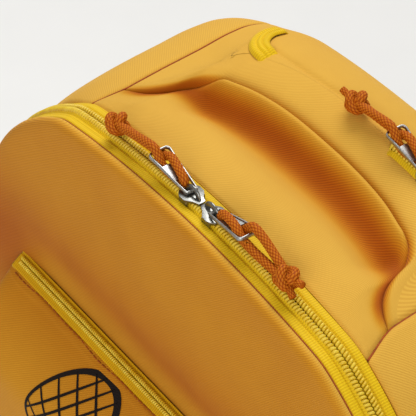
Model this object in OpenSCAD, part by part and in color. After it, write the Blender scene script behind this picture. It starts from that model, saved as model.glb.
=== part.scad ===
// Racket tournament bag that stands upright on four feet: an arched front
// compartment with a coil zip, a rear compartment with a zipped lid, a front
// pocket, back padding, shoulder straps and carry handles.
// Millimetres. +Z is up, the front faces -Y, and the origin is the middle of
// the bag's bounding box at floor level.

/* [Body] */
// Width of the bag across its side gussets
body_w = 312; // [304:1:318]
// Height of the fabric body above its feet
body_h = 738; // [710:1:760]
// Radius of the long arch across the top
crown_r = 450; // [430:5:480]
// Radius of the bend at each end of that arch
bend_r = 28; // [24:1:32]
// Radius of the shoulders below the bends
shoulder_r = 130; // [124:1:136]
// Radius of the two lower corners
base_r = 45; // [38:1:50]
// Height of the reinforced base tray
base_h = 105; // [95:1:120]

/* [Depths] */
// Depth of the front compartment behind its zip
front_depth = 59; // [56:1:66]
// Depth of the rear compartment
rear_depth = 68; // [62:1:76]
// How much higher the rear compartment stands than the front one
rear_rise = 9; // [0:1:12]
// Depth of the front pocket
pocket_depth = 37; // [30:1:40]
// Thickness of the fabric, foam and lining together
wall = 2.5; // [2:0.1:3]

/* [Zips] */
// Width of tape that shows on each side of the main coil's middle
tape_half = 8.2; // [7:0.1:9]
// Width of the coil chain
coil_w = 6; // [5:0.1:6.4]
// Height of the coil above its tape
coil_t = 2.3; // [2:0.1:2.4]
// Distance between the two meeting sliders, middle to middle
slider_gap = 12.6; // [12:0.1:20]

/* [Pulls] */
// Length of a metal pull from its pivot to its far end
pull_len = 24; // [23:0.5:25]
// Width of a metal pull at its far end
pull_w = 10.4; // [10:0.2:11]
// Angle at which a cord lifts its metal pull off the zip
pull_lift = 13; // [12:0.5:16]
// Diameter of the braided pull cord
cord_d = 3.8; // [3.4:0.1:3.8]
// Diameter of the knot at the end of a pull cord
knot_d = 11; // [10:0.5:12]

/* [Front pocket] */
// Width of the front pocket
pocket_w = 252; // [220:1:256]
// Distance from the bag's top down to the pocket's zip
pocket_drop = 111; // [105:1:150]
// Height of the pocket behind its zip
pocket_h = 490; // [420:1:500]

/* [Carrying] */
// Width of a padded shoulder strap
strap_w = 60; // [50:1:62]
// How far a shoulder strap bows away from the back
strap_bow = 30; // [26:1:36]
// Radius of a foot
foot_r = 13; // [10:1:16]
// Height of a foot
foot_h = 8; // [6:1:10]

/* [Hidden] */

fabric = "#e5ae38";
lining = "#d99a2b";
zip_yellow = "#ecd02e";
webbing = "#c98a1e";
nickel = "#c9ccce";
cord_brown = "#b5651d";
dark = "#3b3a36";
board = "#e8e6df";
big = 2000;

// Heights and the three arcs on each side of the top
base_z = foot_h;
top_z = base_z + body_h;
half_w = body_w / 2;
tray_z = base_z + base_h;
bend_a = 30;
crown_a = asin((half_w - shoulder_r + (shoulder_r - bend_r) * sin(bend_a)) / (crown_r - bend_r));
crown_z = top_z - crown_r;
bend_x = (crown_r - bend_r) * sin(crown_a);
bend_z = crown_z + (crown_r - bend_r) * cos(crown_a);
shoulder_x = half_w - shoulder_r;
shoulder_z = bend_z - (shoulder_r - bend_r) * cos(bend_a);
seam_x = 78;
seam_z = top_z - 40;

// Depths, front to back, about the middle of the whole bag
panel_t = 3;
back_t = 4.4;
pad_t = 10;
strap_t = 9;
strap_gap = 1.5;
extent_front = tape_half + panel_t + pocket_depth;
extent_back = front_depth + rear_depth + back_t + pad_t + strap_gap + strap_bow + strap_t;
zip_y = (extent_front - extent_back) / 2;
panel_y = zip_y - tape_half;
panel_face_y = panel_y - panel_t;
crease_y = zip_y + front_depth;
back_y = crease_y + rear_depth;
pad_y = back_y + back_t;
pad_back_y = pad_y + pad_t;

// Rear zip: from near the back edge, round one corner and across the top
lid_x = 67;
lid_end = 56;
lid_y = crease_y + 18;
lid_back_y = back_y - 18;
lid_corner = 15;
lid_tape = 6;
rear_slider_x = 46;
// How far the back panel's top edge lies below the crown
back_drop = 12;

// Front pocket: its top slopes down forwards from the front panel
slope_a = 37;
pocket_z = top_z - pocket_drop;
pocket_base_z = pocket_z - pocket_h;
pocket_face_y = panel_face_y - pocket_depth;
pocket_tape = 9;
pocket_zip_s = 4.6;
pocket_scale = 0.72;
pocket_slider_x = 100;

// Slider, with the face of its tape at z = 0
slider_under = 2.6;
slider_plate = 1.2;
slider_top = slider_under + slider_plate;
bridge_r = 4;
bridge_hole = 2.6;
bridge_w = 2.6;
pivot_x = 1.2;
pivot_z = 4.9;
pin_r = 0.8;

// Metal pull
neck_w = 6.2;
rail = 1;
rail_t = 1.8;
far_bar = 1.2;
web_t = 0.6;
web_x0 = 7.4;
web_x1 = 15.6;

// Route of a pull cord with the pivot at the origin and the pull along +X. It
// comes from the knot over the far end, down through the far slot, back under
// the web, up through the near slot, along the web and out under the far end.
cord_route = [
    [44, 1.0, 0.9], [40, 1.3, 1.3], [35, 1.7, 2.0], [30, 2.0, 2.6], [26, 2.1, 2.9],
    [23, 2.1, 2.7], [20.4, 2.1, 1.2], [18.2, 2.0, -0.8], [16, 1.6, -2.1], [12.5, 1.0, -2.5],
    [8.6, 0.3, -2.4], [5.8, 0, -1.6], [4.9, 0, 0], [5.8, 0, 1.6], [8.6, -0.3, 2.4],
    [12.5, -1.0, 2.5], [16, -1.6, 2.1], [18.2, -2.0, 0.8], [20.4, -2.1, -1.2], [23, -2.1, -2.7],
    [26, -2.0, -2.9], [30, -1.9, -2.6], [35, -1.6, -2.0], [40, -1.3, -1.3], [44, -1.0, -0.9],
];
knot_x = 47;
// How much longer the left main cord is beyond its pull
left_stretch = 1.27;
// Angle by which a cord droops beyond its pull, on the arch and on a straight zip
arch_droop = 24;
flat_droop = 17;

// Shoulder straps, handle and feet
strap_top_z = top_z - 96;
strap_len = 330;
strap_low_z = strap_top_z - strap_len;
strap_x = 66;
strap_splay = 5;
web_w = 25;
adjuster_h = 30;
adjuster_z = strap_low_z - adjuster_h - 1;
web_low_z = 176;
side_handle_z = 430;
side_handle_span = 150;
side_handle_bow = 17;
handle_z = top_z - 66;
handle_y = pad_y + 3.6;
handle_half = 26;
handle_drop = 56;
grip_r = 7;
grip_back = 4.2;
foot_x = half_w - base_r - foot_r;
foot_inset = 24;

// ---------------------------------------------------------------- outlines

// Points on an arc about (cx, cz), with angles from +Z towards +X
function fan(cx, cz, r, a0, a1, n, skip = 0) =
    [for (i = [skip:n]) let (a = a0 + (a1 - a0) * i / n) [cx + r * sin(a), cz + r * cos(a)]];

// Right-hand half of the body's outline, moved outwards by d, its top raised by rise
function half_outline(d, rise) = concat(
    fan(0, crown_z + rise, crown_r + d, 0, crown_a, 8),
    fan(bend_x, bend_z + rise, bend_r + d, crown_a, bend_a, 4, 1),
    fan(shoulder_x, shoulder_z + rise, shoulder_r + d, bend_a, 90, 10, 1),
    fan(half_w - base_r, base_z + base_r, base_r + d, 90, 180, 6)
);

// Whole outline of the body seen from the front
function outline(d, rise = 0) = let (half = half_outline(d, rise), n = len(half) - 1)
    concat(half, [for (i = [n:-1:1]) [-half[i][0], half[i][1]]]);

// Carries a front-view shape through the depth from y0 to y1
module through(y0, y1) {
    translate([0, y1, 0]) rotate([90, 0, 0]) linear_extrude(y1 - y0) children();
}

// Carries a side-view shape, drawn as [y, z], across the width from x0 to x1
module across(x0, x1) {
    translate([x0, 0, 0]) rotate([90, 0, 90]) linear_extrude(x1 - x0) children();
}

module window(x0, x1, z0, z1) {
    translate([x0, z0]) square([x1 - x0, z1 - z0]);
}

// Wall of the body between two depths, cut out by a window
module wall_part(y0, y1, x0, x1, z0, z1, inner = -wall, outer = 0, rise = 0) {
    through(y0, y1) intersection() {
        difference() {
            polygon(outline(outer, rise));
            polygon(outline(inner, rise));
        }
        window(x0, x1, z0, z1);
    }
}

module both_sides() {
    children();
    mirror([1, 0, 0]) children();
}

module on_side(side) {
    mirror([side < 0 ? 1 : 0, 0, 0]) children();
}

// ---------------------------------------------------------------- fabric body

module side_gusset(y0, y1, rise = 0) {
    color(fabric) wall_part(y0, y1, seam_x, big, tray_z, big, rise = rise);
}

module front_panel() {
    color(fabric) through(panel_face_y, panel_y) polygon(outline(0));
}

module front_gusset_top() {
    color(fabric) wall_part(zip_y + tape_half, crease_y, -seam_x, seam_x, seam_z, big);
}

module front_gusset_left() { on_side(-1) side_gusset(zip_y + tape_half, crease_y); }
module front_gusset_right() { side_gusset(zip_y + tape_half, crease_y); }

module base_tray() {
    color(fabric) wall_part(panel_y, back_y, -big, big, 0, tray_z);
}

module base_stiffener() {
    color(board) translate([base_r - half_w, panel_y + 2, base_z + wall + 0.1])
        cube([body_w - 2 * base_r, back_y - panel_y - 4, 2]);
}

module divider_panel() {
    color(lining) through(crease_y - 2, crease_y + 2) intersection() {
        polygon(outline(-wall - 0.3));
        window(-big, big, base_z + wall + 2.5, big);
    }
}

module divider_mesh_pocket() {
    color(dark) translate([-105, crease_y - 4, 260]) cube([210, 1.8, 190]);
}

module racket_strap() {
    color(dark) translate([-19, crease_y + 2.2, 330]) cube([38, 1.8, 210]);
}

// Plan of the rear lid, whose zipped edges move outwards by d
module lid_plan(d) {
    left = -lid_x - d;
    front = lid_y - d;
    r = lid_corner + d;
    translate([left + r, front + r]) intersection() {
        circle(r = r, $fn = 48);
        translate([-r, -r]) square(r + 1);
    }
    translate([left + r, front]) square([lid_end - left - r, r + 1]);
    translate([left, front + r]) square([lid_end - left, lid_back_y - front - r]);
}

module lid_column(d) {
    translate([0, 0, seam_z]) linear_extrude(big) lid_plan(d);
}

module rear_top(inner = -wall, outer = 0) {
    wall_part(crease_y, back_y, -seam_x, seam_x, seam_z, big, inner, outer, rear_rise);
}

module rear_gusset_top() {
    color(fabric) difference() {
        rear_top();
        lid_column(lid_tape);
    }
}

module rear_gusset_left() { on_side(-1) side_gusset(crease_y, back_y, rear_rise); }
module rear_gusset_right() { side_gusset(crease_y, back_y, rear_rise); }

module rear_lid() {
    color(fabric) intersection() {
        rear_top();
        lid_column(-lid_tape);
    }
}

// Band that follows the lid's zipped edges, half_band to each side of them
module lid_band(half_band, inner, outer) {
    intersection() {
        rear_top(inner, outer);
        difference() {
            lid_column(half_band);
            lid_column(-half_band);
        }
    }
}

module rear_zip_tape() { color(zip_yellow) lid_band(lid_tape, -0.8, 0); }
module rear_zip_coil() { color(zip_yellow) lid_band(coil_w / 2, 0.1, coil_t); }

module back_panel() {
    color(fabric) through(back_y, pad_y - 0.2) polygon(outline(0, -back_drop));
}

module back_stiffener() {
    color(board) through(back_y - 2.2, back_y - 0.2) intersection() {
        polygon(outline(-wall - 8));
        window(-big, big, tray_z, top_z - 110);
    }
}

module back_pads() {
    color(lining) {
        both_sides() translate([18, pad_y, 330]) cube([100, pad_t, 262]);
        translate([-118, pad_y, 130]) cube([236, pad_t, 170]);
    }
}

// ---------------------------------------------------------------- zips

module main_zip_tape_front() {
    color(zip_yellow) wall_part(panel_y, zip_y - 0.4, -big, big, tray_z, big, -0.8, 0);
}

module main_zip_tape_rear() {
    color(zip_yellow) wall_part(zip_y + 0.4, zip_y + tape_half, -big, big, tray_z, big, -0.8, 0);
}

module main_zip_coil() {
    color(zip_yellow)
        wall_part(zip_y - coil_w / 2, zip_y + coil_w / 2, -big, big, tray_z + 8, big, 0.1, coil_t);
}

// Slider on a coil along X, with its nose at -X: a plate, two flanges beside
// the coil and a bridge that holds the pull
module slider() {
    color(nickel) {
        translate([0, 0, slider_under]) linear_extrude(slider_plate) polygon([
            [-5.5, -2.4], [-5.5, 2.4], [0.5, 4.9], [3.5, 4.9], [5.5, 3.4],
            [5.5, -3.4], [3.5, -4.9], [0.5, -4.9],
        ]);
        for (side = [-1, 1]) translate([-1, side * 3.9 - 0.4, 0.4]) cube([5, 0.8, slider_under - 0.3]);
        translate([0, bridge_w / 2, slider_top - 0.1]) rotate([90, 0, 0]) linear_extrude(bridge_w)
            difference() {
                circle(r = bridge_r, $fn = 48);
                circle(r = bridge_hole, $fn = 48);
                translate([-big, -big]) square([2 * big, big]);
            }
    }
}

// Metal pull that reaches along +X from its pin: a frame that widens outwards,
// with a thin web between its near and far slots
module pull() {
    near = neck_w / 2;
    far = pull_w / 2;
    color(nickel) {
        translate([0, 0, -rail_t / 2]) linear_extrude(rail_t) difference() {
            polygon([[0, -near], [0, near], [pull_len, far], [pull_len, -far]]);
            polygon([
                [-1, rail - near], [-1, near - rail],
                [pull_len - far_bar, far - rail], [pull_len - far_bar, rail - far],
            ]);
        }
        translate([0, 0, -web_t / 2]) linear_extrude(web_t) polygon([
            [web_x0, -near], [web_x0, near], [web_x1, far - rail], [web_x1, rail - far],
        ]);
        translate([0, near - rail / 2, 0]) rotate([90, 0, 0])
            cylinder(r = pin_r, h = neck_w - rail, $fn = 32);
    }
}

// ---------------------------------------------------------------- pull cords

function unit(v) = v / norm(v);
function heading(route, i) = unit(route[min(i + 1, len(route) - 1)] - route[max(i - 1, 0)]);

// Rings of a tube along a route that stays close to the XZ plane
function tube_rings(route, r, sides) = [
    for (i = [0:len(route) - 1])
        let (t = heading(route, i), v = unit(cross(t, [0, 1, 0])), u = cross(v, t))
            for (k = [0:sides - 1]) route[i] + r * (cos(360 * k / sides) * u + sin(360 * k / sides) * v)
];

module tube(route, r, sides = 8) {
    n = len(route);
    polyhedron(points = tube_rings(route, r, sides), faces = concat(
        [[for (k = [0:sides - 1]) k]],
        [
            for (i = [0:n - 2]) for (k = [0:sides - 1])
                let (j = (k + 1) % sides, a = i * sides, b = a + sides) [a + k, b + k, b + j, a + j]
        ],
        [[for (k = [sides - 1:-1:0]) (n - 1) * sides + k]]
    ));
}

// Stretches what lies beyond the pull's far end, and turns it down by the droop
function drooped(p, droop, stretch) = p[0] <= pull_len ? p :
    let (reach = (p[0] - pull_len) * stretch) [
        pull_len + reach * cos(droop) + p[2] * sin(droop),
        p[1],
        p[2] * cos(droop) - reach * sin(droop),
    ];

module cord(droop, stretch = 1) {
    color(cord_brown) tube([for (p = cord_route) drooped(p, droop, stretch)], cord_d / 2);
}

module knot(droop, stretch = 1) {
    color(cord_brown) translate(drooped([knot_x, 0, 0], droop, stretch))
        sphere(r = knot_d / 2, $fn = 32);
}

// Places children at x on the arch of the top, turned about the arch's normal
module on_arch(x, y, turn, rise = 0) {
    translate([0, y, crown_z + rise]) rotate([0, asin(x / crown_r), 0])
        translate([0, 0, crown_r]) rotate([0, 0, turn]) children();
}

module on_pocket_zip() {
    translate([pocket_slider_x, panel_face_y, pocket_z]) rotate([slope_a, 0, 0])
        translate([0, -pocket_zip_s, 0]) scale(pocket_scale) rotate([0, 0, 180]) children();
}

module at_pivot() {
    translate([pivot_x, 0, pivot_z]) rotate([0, -pull_lift, 0]) children();
}

module on_main_left() { on_arch(-slider_gap / 2, zip_y, 180) children(); }
module main_slider_left() { on_main_left() slider(); }
module main_pull_left() { on_main_left() at_pivot() pull(); }
module main_cord_left() { on_main_left() at_pivot() cord(arch_droop, left_stretch); }
module main_knot_left() { on_main_left() at_pivot() knot(arch_droop, left_stretch); }

module on_main_right() { on_arch(slider_gap / 2, zip_y, 0) children(); }
module main_slider_right() { on_main_right() slider(); }
module main_pull_right() { on_main_right() at_pivot() pull(); }
module main_cord_right() { on_main_right() at_pivot() cord(arch_droop); }
module main_knot_right() { on_main_right() at_pivot() knot(arch_droop); }

module on_rear_zip() { on_arch(rear_slider_x, lid_y, 180, rear_rise) children(); }
module rear_slider() { on_rear_zip() slider(); }
module rear_pull() { on_rear_zip() at_pivot() pull(); }
module rear_cord() { on_rear_zip() at_pivot() cord(arch_droop); }
module rear_knot() { on_rear_zip() at_pivot() knot(arch_droop); }

module pocket_slider() { on_pocket_zip() slider(); }
module pocket_pull() { on_pocket_zip() at_pivot() pull(); }
module pocket_cord() { on_pocket_zip() at_pivot() cord(flat_droop); }
module pocket_knot() { on_pocket_zip() at_pivot() knot(flat_droop); }

// ---------------------------------------------------------------- front pocket

// Point on the pocket's sloping top, s down the slope and lift above it
function on_slope(s, lift = 0) = [
    panel_face_y - s * cos(slope_a) - lift * sin(slope_a),
    pocket_z - s * sin(slope_a) + lift * cos(slope_a),
];

// Strip of the sloping top from s0 to s1 down the slope
module slope_strip(s0, s1, lift0, lift1, half) {
    across(-half, half)
        polygon([on_slope(s0, lift0), on_slope(s1, lift0), on_slope(s1, lift1), on_slope(s0, lift1)]);
}

module pocket_zip_tape() {
    color(zip_yellow) slope_strip(0.6, pocket_tape, -0.8, 0, pocket_w / 2 - wall);
}

module pocket_zip_coil() {
    half_coil = coil_w * pocket_scale / 2;
    color(zip_yellow) slope_strip(pocket_zip_s - half_coil, pocket_zip_s + half_coil,
        0.1, coil_t * pocket_scale, pocket_w / 2 - wall);
}

// Sloping top and face of the pocket, one skin
module pocket_front() {
    fold_s = pocket_depth / cos(slope_a);
    fold = on_slope(fold_s);
    inner_y = pocket_face_y + wall;
    inner_fold_z = fold[1] + wall * tan(slope_a) - wall / cos(slope_a);
    color(fabric) across(wall - pocket_w / 2, pocket_w / 2 - wall) polygon([
        on_slope(pocket_tape), fold, [pocket_face_y, pocket_base_z], [inner_y, pocket_base_z],
        [inner_y, inner_fold_z], on_slope(pocket_tape, -wall),
    ]);
}

// Side walls and floor of the pocket
module pocket_gusset() {
    fold = on_slope(pocket_depth / cos(slope_a));
    color(fabric) {
        both_sides() across(pocket_w / 2 - wall, pocket_w / 2) polygon([
            [panel_face_y, pocket_z], fold, [pocket_face_y, pocket_base_z], [panel_face_y, pocket_base_z],
        ]);
        translate([wall - pocket_w / 2, pocket_face_y + wall, pocket_base_z])
            cube([pocket_w - 2 * wall, pocket_depth - wall, wall]);
    }
}

// ---------------------------------------------------------------- straps and handles

// Side view of a padded strap at t from its top (0) to its end (1)
function strap_line(t, off) = [
    pad_back_y + strap_gap + strap_t / 2 + strap_bow * pow(sin(180 * t), 1.2) + off,
    strap_top_z - strap_len * t,
];

module strap_body() {
    n = 14;
    across(-strap_w / 2, strap_w / 2) polygon(concat(
        [for (i = [0:n]) strap_line(i / n, -strap_t / 2)],
        [for (i = [n:-1:0]) strap_line(i / n, strap_t / 2)]
    ));
}

// Places a strap's parts, which move outwards as they go down
module splayed() {
    translate([strap_x, 0, strap_top_z]) rotate([0, -strap_splay, 0])
        translate([0, 0, -strap_top_z]) children();
}

module shoulder_strap_left() { color(fabric) on_side(-1) splayed() strap_body(); }
module shoulder_strap_right() { color(fabric) splayed() strap_body(); }

module strap_web() {
    color(webbing) splayed() translate([-web_w / 2, pad_back_y + 4.5, web_low_z])
        cube([web_w, 2, adjuster_z - web_low_z - 0.5]);
}

module strap_webbing_left() { on_side(-1) strap_web(); }
module strap_webbing_right() { strap_web(); }

// Ladder-lock adjuster: a frame with two slots that the webbing threads
module strap_adjuster() {
    color(dark) splayed() through(pad_back_y + 3, pad_back_y + 8) difference() {
        window(-18, 18, adjuster_z, adjuster_z + adjuster_h);
        for (z = [6, 18]) window(-13.5, 13.5, adjuster_z + z, adjuster_z + z + 6);
    }
}

module strap_adjuster_left() { on_side(-1) strap_adjuster(); }
module strap_adjuster_right() { strap_adjuster(); }

module strap_top_tabs() {
    color(webbing) both_sides() splayed() translate([-26, pad_y, strap_top_z + 0.8])
        cube([52, pad_t + strap_gap + strap_t - 1, 16]);
}

module strap_base_tabs() {
    low_x = strap_x + (strap_top_z - web_low_z) * tan(strap_splay);
    color(webbing) both_sides() translate([low_x - 18, pad_back_y + 0.2, web_low_z - 34])
        cube([36, 6, 33]);
}

// Side handle seen from the front: a strap that bows away from the gusset
module side_handle() {
    n = 12;
    function bow(t) = [
        half_w + 0.4 + side_handle_bow * pow(sin(180 * t), 0.8),
        side_handle_z + side_handle_span * (t - 0.5),
    ];
    color(webbing) through(crease_y - 12.5, crease_y + 12.5) polygon(concat(
        [for (i = [0:n]) bow(i / n)],
        [for (i = [n:-1:0]) bow(i / n) + [3.5, 0]]
    ));
}

module side_handle_left() { on_side(-1) side_handle(); }
module side_handle_right() { side_handle(); }

// Haul handle: a padded grip on two webbing tails
module grab_handle() {
    reach = handle_half + 5.5;
    color(webbing) {
        both_sides() translate([handle_half - 5.5, handle_y - 1.5, handle_z - handle_drop])
            cube([11, 3, handle_drop - 0.6]);
        translate([-reach, handle_y + grip_back, handle_z - handle_drop]) rotate([0, 90, 0])
            cylinder(r = grip_r, h = 2 * reach, $fn = 40);
    }
}

module grab_handle_patches() {
    color(webbing) both_sides() translate([handle_half - 9, pad_y, handle_z + 2]) cube([18, 1.5, 16]);
}

module feet() {
    color(dark) both_sides() for (y = [panel_y + foot_inset, back_y - foot_inset])
        translate([foot_x, y, 0]) cylinder(r = foot_r, h = foot_h, $fn = 48);
}

front_panel();
front_gusset_top();
front_gusset_left();
front_gusset_right();
base_tray();
base_stiffener();
divider_panel();
divider_mesh_pocket();
racket_strap();
rear_gusset_top();
rear_gusset_left();
rear_gusset_right();
rear_lid();
back_panel();
back_stiffener();
back_pads();
main_zip_tape_front();
main_zip_tape_rear();
main_zip_coil();
rear_zip_tape();
rear_zip_coil();
pocket_front();
pocket_gusset();
pocket_zip_tape();
pocket_zip_coil();
shoulder_strap_left();
shoulder_strap_right();
strap_webbing_left();
strap_webbing_right();
strap_adjuster_left();
strap_adjuster_right();
strap_top_tabs();
strap_base_tabs();
side_handle_left();
side_handle_right();
feet();
grab_handle();
grab_handle_patches();
main_slider_left();
main_pull_left();
main_cord_left();
main_knot_left();
main_slider_right();
main_pull_right();
main_cord_right();
main_knot_right();
rear_slider();
rear_pull();
rear_cord();
rear_knot();
pocket_slider();
pocket_pull();
pocket_cord();
pocket_knot();
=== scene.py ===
"""Racket tournament bag: soft skins, zips, corded pulls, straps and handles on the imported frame."""
import math

import bmesh
import bpy
import numpy as np
from bpy.props import FloatProperty, IntProperty, PointerProperty, StringProperty
from mathutils import Matrix, Vector


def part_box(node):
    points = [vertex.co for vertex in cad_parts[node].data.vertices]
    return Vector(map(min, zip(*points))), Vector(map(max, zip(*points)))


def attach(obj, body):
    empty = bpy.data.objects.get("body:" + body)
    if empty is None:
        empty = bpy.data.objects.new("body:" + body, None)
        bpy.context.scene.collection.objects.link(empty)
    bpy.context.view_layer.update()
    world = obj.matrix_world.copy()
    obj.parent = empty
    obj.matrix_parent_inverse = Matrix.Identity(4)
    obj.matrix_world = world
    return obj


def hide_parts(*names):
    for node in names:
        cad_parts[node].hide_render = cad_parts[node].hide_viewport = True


bl_info = {
    "name": "Racket bag",
    "version": (1, 0, 0),
    "blender": (4, 5, 0),
    "location": "View3D > Sidebar > Racket bag",
    "description": "Makes the soft skins, zips, cords, straps and handles of an upright racket bag",
    "category": "Object",
}

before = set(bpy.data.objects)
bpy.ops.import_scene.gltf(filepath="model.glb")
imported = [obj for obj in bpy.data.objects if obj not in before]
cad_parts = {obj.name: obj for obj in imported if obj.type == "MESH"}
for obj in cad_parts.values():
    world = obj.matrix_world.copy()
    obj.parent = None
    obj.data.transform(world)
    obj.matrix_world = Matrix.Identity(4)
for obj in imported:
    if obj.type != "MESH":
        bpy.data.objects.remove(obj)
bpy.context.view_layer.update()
MM = 0.001

# Places in the frame, in millimetres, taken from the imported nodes
TAPE_LOW, TAPE_HIGH = (np.array(p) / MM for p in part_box("main_zip_tape_rear"))
BACK_LOW, BACK_HIGH = (np.array(p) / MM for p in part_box("back_panel"))
POCKET_LOW = np.array(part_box("pocket_front")[0]) / MM
TRAY_LOW, TRAY_HIGH = (np.array(p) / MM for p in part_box("base_tray"))
ZIP_Y = TAPE_LOW[1] - 0.4
TAPE_EDGE = TAPE_HIGH[1] - ZIP_Y
TOP_Z = TAPE_HIGH[2]
HALF_W = TRAY_HIGH[0]
BASE_Z = TRAY_LOW[2]
TRAY_Z = TRAY_HIGH[2]
BACK_Y = BACK_LOW[1]
BACK = BACK_Y - ZIP_Y
PANEL_FACE = -TAPE_EDGE - 3.0
PANEL_Y = ZIP_Y + PANEL_FACE

# Arcs of the outline, from the middle of the top outwards: crown, bend and shoulder
CROWN_R, BEND_R, SHOULDER_R, CORNER_R = 450.0, 28.0, 130.0, 45.0
BEND_A = math.radians(30)
CROWN_A = math.asin((HALF_W - SHOULDER_R + (SHOULDER_R - BEND_R) * math.sin(BEND_A)) / (CROWN_R - BEND_R))
CROWN_Z = TOP_Z - CROWN_R
BEND_X = (CROWN_R - BEND_R) * math.sin(CROWN_A)
BEND_Z = CROWN_Z + (CROWN_R - BEND_R) * math.cos(CROWN_A)
SHOULDER_X = HALF_W - SHOULDER_R
SHOULDER_Z = BEND_Z - (SHOULDER_R - BEND_R) * math.cos(BEND_A)
S_CROWN = CROWN_R * CROWN_A
S_BEND = S_CROWN + BEND_R * (BEND_A - CROWN_A)
S_SHOULDER = S_BEND + SHOULDER_R * (math.pi / 2 - BEND_A)
S_SIDE = S_SHOULDER + SHOULDER_Z - BASE_Z - CORNER_R
S_CORNER = S_SIDE + CORNER_R * math.pi / 2
S_END = S_CORNER + HALF_W - CORNER_R
S_TRAY = S_SHOULDER + SHOULDER_Z - TRAY_Z
S_SEAM = S_BEND - 3.4


# ---------------------------------------------------------------- settings

class BagSizes(bpy.types.PropertyGroup):
    """Sizes of the soft parts"""
    cloth: FloatProperty(name="Fabric thickness", description="Thickness of the padded shell fabric",
                         default=0.0016, min=0.0005, max=0.004, subtype="DISTANCE", unit="LENGTH")
    cord: FloatProperty(name="Cord diameter", description="Diameter of the braided pull cord",
                        default=0.0038, min=0.003, max=0.0042, subtype="DISTANCE", unit="LENGTH")
    tooth: FloatProperty(name="Coil pitch", description="Distance from one coil turn to the next",
                         default=0.0016, min=0.0012, max=0.0025, subtype="DISTANCE", unit="LENGTH")
    twill: FloatProperty(name="Twill rib", description="Distance between the ribs of the twill",
                         default=0.0008, min=0.0004, max=0.003, subtype="DISTANCE", unit="LENGTH")
    swell: FloatProperty(name="Panel swell", description="How far the front panel swells forwards",
                         default=0.004, min=0.0, max=0.008, subtype="DISTANCE", unit="LENGTH")
    levels: IntProperty(name="Pad smoothing", description="Subdivision levels on the pads",
                        default=1, min=0, max=2)


class BagColours(bpy.types.PropertyGroup):
    """Colours of the bag as sRGB hex values"""
    fabric: StringProperty(name="Shell fabric", description="Colour of the twill", default="#DFAE44")
    tape: StringProperty(name="Zip tape", description="Colour of the zip tape and its coil", default="#EBC414")
    cord: StringProperty(name="Cord", description="Colour of the pull cords", default="#B05208")
    webbing: StringProperty(name="Webbing", description="Colour of straps and handles", default="#D8901C")
    ink: StringProperty(name="Print", description="Colour of the printed drawing", default="#1E1512")


# ---------------------------------------------------------------- small tools

def linear(code):
    """sRGB hex to linear: each channel is (c + 0.055) / 1.055 to the power 2.4, or c / 12.92 when dark"""
    c = np.array([int(code[i:i + 2], 16) for i in (1, 3, 5)]) / 255.0
    return (*np.where(c <= 0.04045, c / 12.92, ((c + 0.055) / 1.055) ** 2.4).tolist(), 1.0)


def smooth(t, a=0.0, b=1.0):
    """Smooth step: 0 below a, 1 above b, and 3u^2 - 2u^3 between"""
    u = np.clip((t - a) / (b - a), 0, 1)
    return u * u * (3 - 2 * u)


def unit(v):
    """Vectors made one long"""
    return v / np.linalg.norm(v, axis=-1, keepdims=True)


def through_points(t, points):
    """Smooth curve through points (t, value): cubic pieces whose slopes are the mean of their neighbours'"""
    k, v = (np.array(c, float) for c in zip(*points))
    d = np.diff(v) / np.diff(k)
    m = np.concatenate([[d[0]], np.where(d[:-1] * d[1:] > 0, (d[:-1] + d[1:]) / 2, 0), [d[-1]]])
    i = np.clip(np.searchsorted(k, t, side="right") - 1, 0, len(k) - 2)
    h = k[i + 1] - k[i]
    u = np.clip((t - k[i]) / h, 0, 1)
    return ((2 * u ** 3 - 3 * u ** 2 + 1) * v[i] + (u ** 3 - 2 * u ** 2 + u) * h * m[i]
            + (3 * u ** 2 - 2 * u ** 3) * v[i + 1] + (u ** 3 - u ** 2) * h * m[i + 1])


def spaced(a, b, n, ends=0.6):
    """n + 1 numbers from a to b, closer together at both ends: a mix of even and cosine spacing"""
    t = np.linspace(0, 1, n + 1)
    return a + (b - a) * ((1 - ends) * t + ends * (0.5 - 0.5 * np.cos(math.pi * t)))


def outline(s, off=0.0):
    """Point and normal of the body's outline at arc length s from the middle of the top.

    Crown, bend and shoulder arcs, a straight side, a corner arc and the straight base, where each arc
    gives (cx + r sin a, cz + r cos a) and off moves the point along its normal.
    """
    s = np.asarray(s, float)
    q, side = np.abs(s), np.where(s < 0, -1.0, 1.0)
    zone = [q < S_CROWN, q < S_BEND, q < S_SHOULDER, q < S_SIDE, q < S_CORNER]
    a = np.select(zone, [q / CROWN_R, CROWN_A + (q - S_CROWN) / BEND_R, BEND_A + (q - S_BEND) / SHOULDER_R,
                         np.full_like(q, math.pi / 2), math.pi / 2 + (q - S_SIDE) / CORNER_R], math.pi)
    r = np.select(zone, [CROWN_R, BEND_R, SHOULDER_R, SHOULDER_R, CORNER_R], CORNER_R)
    cx = np.select(zone, [0, BEND_X, SHOULDER_X, SHOULDER_X, HALF_W - CORNER_R],
                   HALF_W - CORNER_R - (q - S_CORNER))
    cz = np.select(zone, [CROWN_Z, BEND_Z, SHOULDER_Z, SHOULDER_Z - (q - S_SHOULDER), BASE_Z + CORNER_R],
                   BASE_Z + CORNER_R)
    return side * (cx + (r + off) * np.sin(a)), cz + (r + off) * np.cos(a), side * np.sin(a), np.cos(a)


def new_object(name, verts, faces, uv=None):
    """Mesh object from points in millimetres and faces of equal size, with an optional UV per corner"""
    mesh = bpy.data.meshes.new(name)
    mesh.from_pydata(np.asarray(verts, float) * MM, [], np.asarray(faces))
    if uv is not None:
        mesh.uv_layers.new(name="cloth").data.foreach_set("uv", np.asarray(uv, np.float32).ravel())
    mesh.polygons.foreach_set("use_smooth", np.ones(len(mesh.polygons), bool))
    obj = bpy.data.objects.new(name, mesh)
    bpy.context.scene.collection.objects.link(obj)
    return obj


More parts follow.
